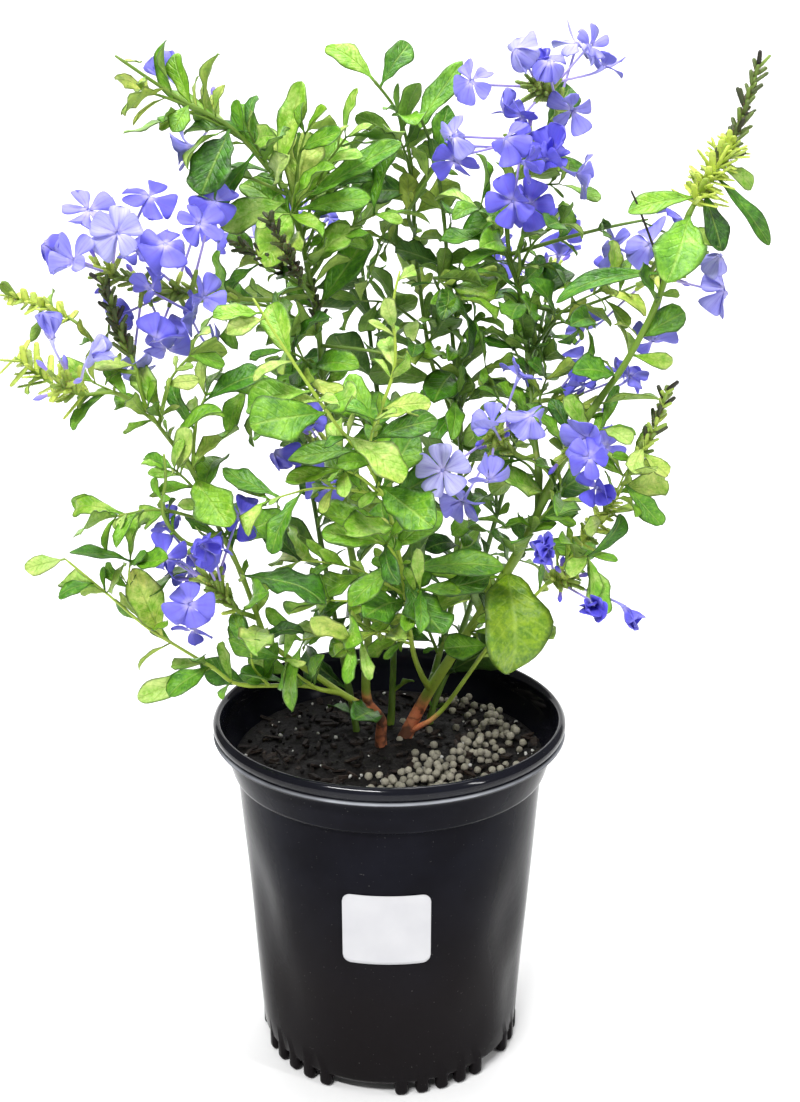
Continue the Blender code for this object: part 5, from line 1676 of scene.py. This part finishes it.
class Nodes:
    """Adds nodes to a tree. A value is a plain one or the output of another node."""

    def __init__(self, tree):
        self.tree = tree

    def give(self, socket, value):
        if isinstance(value, bpy.types.NodeSocket):
            self.tree.links.new(value, socket)
        else:
            socket.default_value = value

    def node(self, kind, inputs=(), **settings):
        """The outputs of a new node with these settings and these inputs, by name or number."""
        node = self.tree.nodes.new("ShaderNode" + kind)
        for setting, value in settings.items():
            setattr(node, setting, value)
        for key, value in dict(inputs).items():
            self.give(node.inputs[key], value)
        return node.outputs

    def maths(self, operation, *values):
        return self.node("Math", dict(enumerate(values)), operation=operation)[0]

    def times(self, first, second):
        return self.maths("MULTIPLY", first, second)

    def mottled(self, value, *patterns):
        """The value with patterns laid over it, each with its strength."""
        for pattern, strength in patterns:
            value = self.maths("MULTIPLY_ADD", self.maths("SUBTRACT", pattern, 0.5), strength, value)
        return value

    def spread(self, value, low, high, to_low=0.0, to_high=1.0):
        """The value moved from one range to another, and kept inside it."""
        return self.node("MapRange", {0: value, 1: low, 2: high, 3: to_low, 4: to_high})[0]

    def blend(self, share, first, second, kind="MIX"):
        """Two colours mixed. A colour of three numbers is as it looks on a screen."""
        first, second = (shown(*c) if isinstance(c, tuple) and len(c) == 3 else c for c in (first, second))
        return self.node("Mix", {0: share, 6: first, 7: second}, data_type="RGBA", blend_type=kind)[2]

    def ramp(self, share, *stops):
        """Colours along a value. A stop is its position and the three numbers of its colour."""
        node = self.tree.nodes.new("ShaderNodeValToRGB")
        self.give(node.inputs[0], share)
        elements = node.color_ramp.elements
        while len(elements) < len(stops):
            elements.new(0.5)
        for element, (position, *colour) in zip(elements, stops):
            element.position = position
            element.color = shown(*colour)
        return node.outputs[0]

    def attribute(self, name):
        return self.node("Attribute", attribute_name=name)["Fac"]


class Pattern(Nodes):
    """A group of nodes in the making."""

    def __init__(self, name, inputs, outputs):
        super().__init__(bpy.data.node_groups.new(name, "ShaderNodeTree"))
        for label, kind in inputs.items():
            self.tree.interface.new_socket(label, in_out="INPUT", socket_type="NodeSocket" + kind)
        for label in outputs:
            self.tree.interface.new_socket(label, in_out="OUTPUT", socket_type="NodeSocketFloat")
        self.given = self.tree.nodes.new("NodeGroupInput").outputs
        self.out = self.tree.nodes.new("NodeGroupOutput").inputs

    def finished(self, **values):
        for label, value in values.items():
            self.give(self.out[label], value)
        return self.tree


class Finish(Nodes):
    """A material in the making, with these values of its shader the same all over."""

    def __init__(self, name, grain=None, scale=0.0, **values):
        self.material = bpy.data.materials.new(name)
        self.material.use_nodes = True
        super().__init__(self.material.node_tree)
        self.shader = self.tree.nodes["Principled BSDF"].inputs
        for socket, value in values.items():
            self.shader[socket.replace("_", " ")].default_value = value
        self.place = self.node("TexCoord")["Object"]
        self.colour = shown(255, 255, 255)
        if grain is not None:
            self.blotch, self.fine = self.grains(grain, scale)

    def grains(self, grain, scale):
        """Blotches and fine grain at this scale."""
        found = self.node("Group", {"Place": self.place, "Scale": scale}, node_tree=grain)
        return found["Blotch"], found["Grain"]

    def height(self):
        return self.node("SeparateXYZ", {0: self.place})[2]

    def layer(self, share, *colour):
        """Lays a colour over what is there."""
        self.colour = self.blend(share, self.colour, colour)

    def finished(self, rough=None, bump=None):
        """The material. The bump is (pattern, strength, distance)."""
        self.give(self.shader["Base Color"], self.colour)
        if rough is not None:
            self.give(self.shader["Roughness"], rough)
        if bump is not None:
            normal = self.node("Bump", dict(zip(("Height", "Strength", "Distance"), bump)))[0]
            self.give(self.shader["Normal"], normal)
        return self.material


def grain_group():
    """Blotches and fine grain, both from 0 to 1, at a place and a scale."""
    group = Pattern("fine grain", {"Place": "Vector", "Scale": "Float"}, ("Blotch", "Grain"))
    place, scale = group.given["Place"], group.given["Scale"]
    blotch = group.node("TexNoise", {"Vector": place, "Scale": scale, "Detail": 3.0})[0]
    close = group.times(scale, 9.0)
    grain = group.node("TexNoise", {"Vector": place, "Scale": close, "Detail": 4.0, "Roughness": 0.65})[0]
    return group.finished(Blotch=blotch, Grain=grain)


def vein_group():
    """The net of a leaf: its midrib and side veins, and its thin margin."""
    group = Pattern("leaf veins", {"Along": "Float", "Across": "Float", "Place": "Vector"},
                    ("Rib", "Veins", "Margin"))
    off = group.maths("ABSOLUTE", group.given["Across"])
    wander = group.node("TexNoise", {"Vector": group.given["Place"], "Scale": 160.0, "Detail": 2.0})[0]
    run = group.maths("MULTIPLY_ADD", off, -2.1, group.times(group.given["Along"], 8.0))
    run = group.maths("ADD", run, group.times(wander, 0.7))
    wave = group.maths("ABSOLUTE", group.maths("SUBTRACT", group.maths("FRACT", run), 0.5))
    veins = group.times(group.spread(wave, 0.0, 0.16, 1.0, 0.0), group.spread(off, 0.7, 1.0, 1.0, 0.0))
    rib, margin = group.spread(off, 0.02, 0.1, 1.0, 0.0), group.spread(off, 0.84, 0.97)
    return group.finished(Rib=rib, Veins=veins, Margin=margin)


def leaf_finish(name, veins, grain, back):
    """A leaf's upper side, or its paler and duller back."""
    leaf = Finish(name, grain, 90.0)
    shape = {"Along": leaf.attribute("along"), "Across": leaf.attribute("across"), "Place": leaf.place}
    net = leaf.node("Group", shape, node_tree=veins)
    close, _ = leaf.grains(grain, 260.0)
    tint = leaf.mottled(leaf.attribute("tone"), (leaf.blotch, 0.5), (close, 0.6), (leaf.fine, 0.5))
    if back:
        leaf.colour = leaf.ramp(tint, (0.0, 66, 108, 38), (0.5, 122, 164, 62), (1.0, 184, 210, 98))
    else:
        leaf.colour = leaf.ramp(tint, (0.0, 32, 74, 16), (0.3, 74, 136, 28), (0.6, 126, 186, 46),
                                (1.0, 214, 234, 138))
    ripe = leaf.spread(leaf.node("TexNoise", {"Vector": leaf.place, "Scale": 24.0})[0], 0.45, 0.65)
    ripe = leaf.maths("MAXIMUM", ripe, leaf.attribute("ripe"))
    leaf.colour = leaf.blend(ripe, leaf.colour, (1.2, 1.03, 0.78, 1.0), "MULTIPLY")
    leaf.colour = leaf.blend(leaf.attribute("ripe"), leaf.colour, (1.34, 1.0, 0.7, 1.0), "MULTIPLY")
    line = (186, 210, 120) if back else (176, 206, 96)
    leaf.layer(leaf.times(net["Veins"], leaf.times(ripe, 0.22)), *line)
    leaf.layer(leaf.times(net["Rib"], 0.34), *line)
    leaf.layer(leaf.times(net["Margin"], 0.72), 44, 72, 16)
    leaf.layer(leaf.spread(leaf.fine, 0.67, 0.72, 0.0, 0.4), 206, 226, 160)
    smooth, dull, vein_lift, rib_lift = (0.55, 0.7, 0.4, 0.9) if back else (0.3, 0.46, -0.3, -0.5)
    lift = leaf.maths("ADD", leaf.times(net["Veins"], vein_lift), leaf.times(net["Rib"], rib_lift))
    lift = leaf.maths("MULTIPLY_ADD", leaf.fine, 0.5, lift)
    lift = leaf.maths("MULTIPLY_ADD", close, 1.4, lift)
    return leaf.finished(leaf.spread(leaf.fine, 0.3, 0.7, smooth, dull), (lift, 0.7, 0.0009))


def petal_finish(name, grain, tube):
    """The petals: pale to violet-blue, with a darker middle line and fine veins from the claw."""
    petal = Finish(name, grain, 130.0, Sheen_Weight=0.15)
    tone = petal.mottled(petal.attribute("tone"), (petal.blotch, 0.3))
    petal.colour = petal.ramp(tone, (0.0, 194, 194, 242), (0.3, 148, 146, 236), (0.6, 106, 102, 224),
                              (1.0, 68, 62, 200))
    away, off = petal.attribute("along"), petal.maths("ABSOLUTE", petal.attribute("across"))
    if tube:
        petal.layer(petal.spread(away, 0.0, 0.9, 0.55, 0.0), 196, 160, 214)
    else:
        line = petal.times(petal.spread(off, 0.0, 0.13, 1.0, 0.0), petal.spread(away, 0.1, 0.85, 0.8, 0.15))
        wave = petal.maths("SUBTRACT", petal.maths("FRACT", petal.times(off, 3.5)), 0.5)
        veins = petal.spread(petal.maths("ABSOLUTE", wave), 0.0, 0.2, 1.0, 0.0)
        petal.layer(petal.times(veins, 0.26), 110, 96, 214)
        petal.layer(line, 98, 74, 204)
        petal.layer(petal.spread(off, 0.7, 1.0, 0.0, 0.3), 92, 84, 212)
        petal.layer(petal.spread(away, 0.05, 0.3, 0.55, 0.0), 206, 198, 246)
    rough = petal.spread(petal.fine, 0.3, 0.7, 0.5, 0.68)
    return petal.finished(rough, (petal.fine, 0.25, 0.0002))


def stem_finish(grain):
    """Green skin that turns to orange-brown bark near the mix, with dark rings and warts."""
    skin = Finish("stem skin", grain, 140.0)
    age = skin.mottled(skin.attribute("tone"), (skin.blotch, 0.5))
    bark = skin.ramp(age, (0.0, 160, 176, 76), (0.3, 228, 170, 104), (0.6, 232, 136, 92), (1.0, 182, 106, 70))
    low = skin.spread(skin.height(), 0.17, 0.27, 0.12, 0.0)
    green = skin.ramp(skin.maths("ADD", skin.attribute("across"), low), (0.1, 62, 92, 30),
                      (0.35, 112, 146, 44), (0.46, 174, 200, 74))
    skin.colour = skin.blend(skin.spread(age, 0.05, 0.3), green, bark)
    bands = {"Vector": skin.place, "Scale": 42.0, "Distortion": 14.0, "Detail": 3.0}
    rings = skin.node("TexWave", bands, bands_direction="Z")["Fac"]
    dark = skin.times(skin.spread(rings, 0.86, 1.0), skin.spread(age, 0.3, 0.7))
    skin.layer(skin.times(dark, 0.5), 64, 36, 26)
    worn = skin.times(skin.spread(skin.blotch, 0.5, 0.58, 0.0, 0.85), skin.spread(age, 0.3, 0.6))
    skin.layer(worn, 74, 46, 32)
    skin.layer(skin.spread(skin.fine, 0.56, 0.7, 0.0, 0.35), 72, 70, 32)
    return skin.finished(skin.spread(age, 0.2, 0.8, 0.42, 0.75), (skin.fine, 0.5, 0.0005))


def calyx_finish(grain):
    skin = Finish("calyx skin", grain, 240.0)
    tone = skin.mottled(skin.attribute("tone"), (skin.blotch, 0.3))
    skin.colour = skin.ramp(tone, (0.0, 206, 224, 96), (0.22, 138, 168, 66), (0.55, 72, 88, 38),
                            (0.8, 48, 54, 28), (1.0, 38, 34, 26))
    return skin.finished(skin.spread(skin.fine, 0.3, 0.7, 0.4, 0.6), (skin.fine, 0.4, 0.0003))


def gland_finish(grain):
    gland = Finish("sticky glands", grain, 400.0, Roughness=0.2)
    tone = gland.attribute("tone")
    gland.colour = gland.ramp(tone, (0.0, 168, 176, 110), (0.5, 120, 84, 70), (1.0, 60, 42, 36))
    gland.layer(gland.spread(gland.blotch, 0.4, 0.7, 0.0, 0.4), 150, 70, 76)
    return gland.finished()


def pot_finish(grain):
    """Thin moulded plastic: black with a blue cast, glossy at the rim, with a pale highlight line painted
    along its lip.
    """
    pot = Finish("gloss black plastic", grain, 26.0, IOR=1.11, Coat_Roughness=0.06)
    height = pot.height()
    pot.colour = pot.blend(pot.spread(pot.blotch, 0.35, 0.7), (16, 16, 22), (24, 25, 33))
    pot.layer(pot.spread(height, 0.12, 0.05, 0.0, 0.8), 27, 24, 24)
    dust = pot.node("TexNoise", {"Vector": pot.place, "Scale": 900.0, "Detail": 1.0})[0]
    specks = pot.spread(dust, 0.75, 0.8, 0.0, 0.25)
    pot.layer(specks, 120, 118, 112)
    flat = pot.node("VectorMath", {0: pot.place, 1: (1.0, 1.0, 0.0)}, operation="MULTIPLY")[0]
    ring = pot.node("VectorMath", {0: flat}, operation="LENGTH")["Value"]
    # Painted highlight: a pale grey line round the lip under the rim's roll, broken up by the blotches
    painted_lip_highlight = pot.times(pot.spread(height, 0.1602, 0.1606), pot.spread(height, 0.1614, 0.1610))
    painted_lip_highlight = pot.times(painted_lip_highlight, pot.spread(ring, 0.079, 0.08))
    painted_lip_highlight = pot.times(painted_lip_highlight, pot.spread(pot.blotch, 0.35, 0.6, 0.3, 0.9))
    pot.layer(painted_lip_highlight, 172, 175, 182)
    pot.give(pot.shader["Coat Weight"], pot.spread(height, 0.156, 0.16, 0.0, 0.38))
    rough = pot.maths("ADD", pot.spread(pot.blotch, 0.3, 0.75, 0.1, 0.2), pot.times(specks, 0.4))
    return pot.finished(rough, (pot.fine, 0.12, 0.0006))


def label_finish(grain):
    label = Finish("blank label paper", grain, 60.0)
    label.colour = label.blend(label.spread(label.blotch, 0.3, 0.7), (196, 196, 200), (204, 204, 207))
    return label.finished(label.spread(label.fine, 0.3, 0.7, 0.38, 0.5), (label.fine, 0.1, 0.0002))


def mix_finish(name, grain, scale, dark, light, rough, by_tone=False):
    """Peat, bark, perlite or prills: two colours in blotches, and a rough skin."""
    mix = Finish(name, grain, scale, Specular_IOR_Level=0.2)
    share = mix.spread(mix.fine, 0.35, 0.68)
    if by_tone:
        share = mix.maths("MULTIPLY_ADD", share, 0.4, mix.times(mix.attribute("tone"), 0.6))
    mix.colour = mix.blend(share, dark, light)
    dull = mix.spread(mix.blotch, 0.3, 0.7, rough - 0.15, rough + 0.1)
    return mix.finished(dull, (mix.fine, 0.8, 0.002))


# Stage


def make_backdrop():
    """A pale floor that curves up behind."""
    floor = Finish("pale floor", Roughness=0.9)
    tone = floor.node("TexNoise", {"Vector": floor.place, "Scale": 2.0})[0]
    floor.colour = floor.blend(tone, (250, 250, 250), (246, 246, 246))
    profile = [(FLOOR_FRONT, 0.0), (FLOOR_BACK, 0.0)]
    for step in range(1, 13):
        turn = math.radians(step * 7.5)
        profile.append((FLOOR_BACK + FLOOR_CURVE * math.sin(turn),
                        FLOOR_CURVE - FLOOR_CURVE * math.cos(turn)))
    profile.append((FLOOR_BACK + FLOOR_CURVE, WALL_TOP))
    bm = bmesh.new()
    verts = [bm.verts.new((-FLOOR_WIDTH / 2, y, z)) for y, z in profile]
    edges = [bm.edges.new(pair) for pair in zip(verts, verts[1:])]
    grown = bmesh.ops.extrude_edge_only(bm, edges=edges)["geom"]
    far = [item for item in grown if isinstance(item, bmesh.types.BMVert)]
    bmesh.ops.translate(bm, vec=(FLOOR_WIDTH, 0, 0), verts=far)
    bmesh.ops.recalc_face_normals(bm, faces=bm.faces[:])
    mesh = mesh_of("backdrop", bm)
    mesh.shade_smooth()
    mesh.materials.append(floor.finished())
    backdrop = in_scene("backdrop", mesh)


def add_lights():
    """Soft lights, and even daylight from all sides."""
    for name, place, target, size, tall, power in LIGHTS:
        lamp = bpy.data.lights.new(name, "AREA")
        lamp.shape = "RECTANGLE"
        lamp.size = size
        lamp.size_y = tall
        lamp.energy = power
        made = in_scene(name, lamp)
        made.location = place
        made.rotation_euler = (Vector(target) - Vector(place)).to_track_quat("-Z", "Y").to_euler()
    world = bpy.data.worlds.new("studio")
    world.use_nodes = True
    sky = world.node_tree.nodes["Background"].inputs
    sky["Color"].default_value = (1.0, 1.0, 1.0, 1.0)
    sky["Strength"].default_value = DAYLIGHT
    bpy.context.scene.world = world
    bpy.context.scene.view_settings.view_transform = "Standard"


def add_camera():
    lens = bpy.data.cameras.new("camera")
    lens.sensor_width = SENSOR
    lens.lens = FOCAL_PIXELS / PHOTO_HEIGHT * SENSOR
    lens.clip_start = 0.01
    camera = in_scene("camera", lens)
    camera.location = CAMERA_PLACE
    camera.rotation_euler = (math.radians(90 - CAMERA_PITCH), 0.0, 0.0)
    bpy.context.scene.camera = camera


def make_plant(grain):
    """Every stem and flower head."""
    veins = vein_group()
    blade = leaf_finish("leaf upper side", veins, grain, False)
    back = leaf_finish("leaf back", veins, grain, True)
    cup, gland = calyx_finish(grain), gland_finish(grain)
    skin = stem_finish(grain)
    petal = petal_finish("petals", grain, False)
    tube = petal_finish("corolla tubes", grain, True)
    template = calyx_template()
    space, stems, heads = grow()
    fill_heads(space, heads)
    ruffle(heads)
    place_shoots(space, stems)
    place_tufts(space, stems)
    for stem in stems.values():
        routes = smooth_routes(stem)
        make_leaves(stem, routes, [blade, back])
        make_wood(stem, routes, template, [cup, gland, skin])
    for head in heads.values():
        make_petals(head, [petal])
        make_stalks(head, template, [cup, gland, tube])


def main():
    grain = grain_group()
    make_backdrop()
    add_lights()
    add_camera()
    make_pot(pot_finish(grain))
    make_label(label_finish(grain))
    make_bed(mix_finish("black peat", grain, 60.0, (6, 5, 5), (22, 19, 18), 0.7))
    make_mix(
        mix_finish("bark bits", grain, 90.0, (8, 7, 6), (52, 40, 33), 0.55, by_tone=True),
        mix_finish("peat crumbs", grain, 120.0, (6, 5, 5), (30, 26, 24), 0.6, by_tone=True),
        mix_finish("perlite", grain, 200.0, (196, 194, 188), (244, 244, 240), 0.8),
        mix_finish("fertiliser prills", grain, 150.0, (126, 122, 108), (196, 190, 172), 0.45, by_tone=True),
    )
    make_plant(grain)


main()
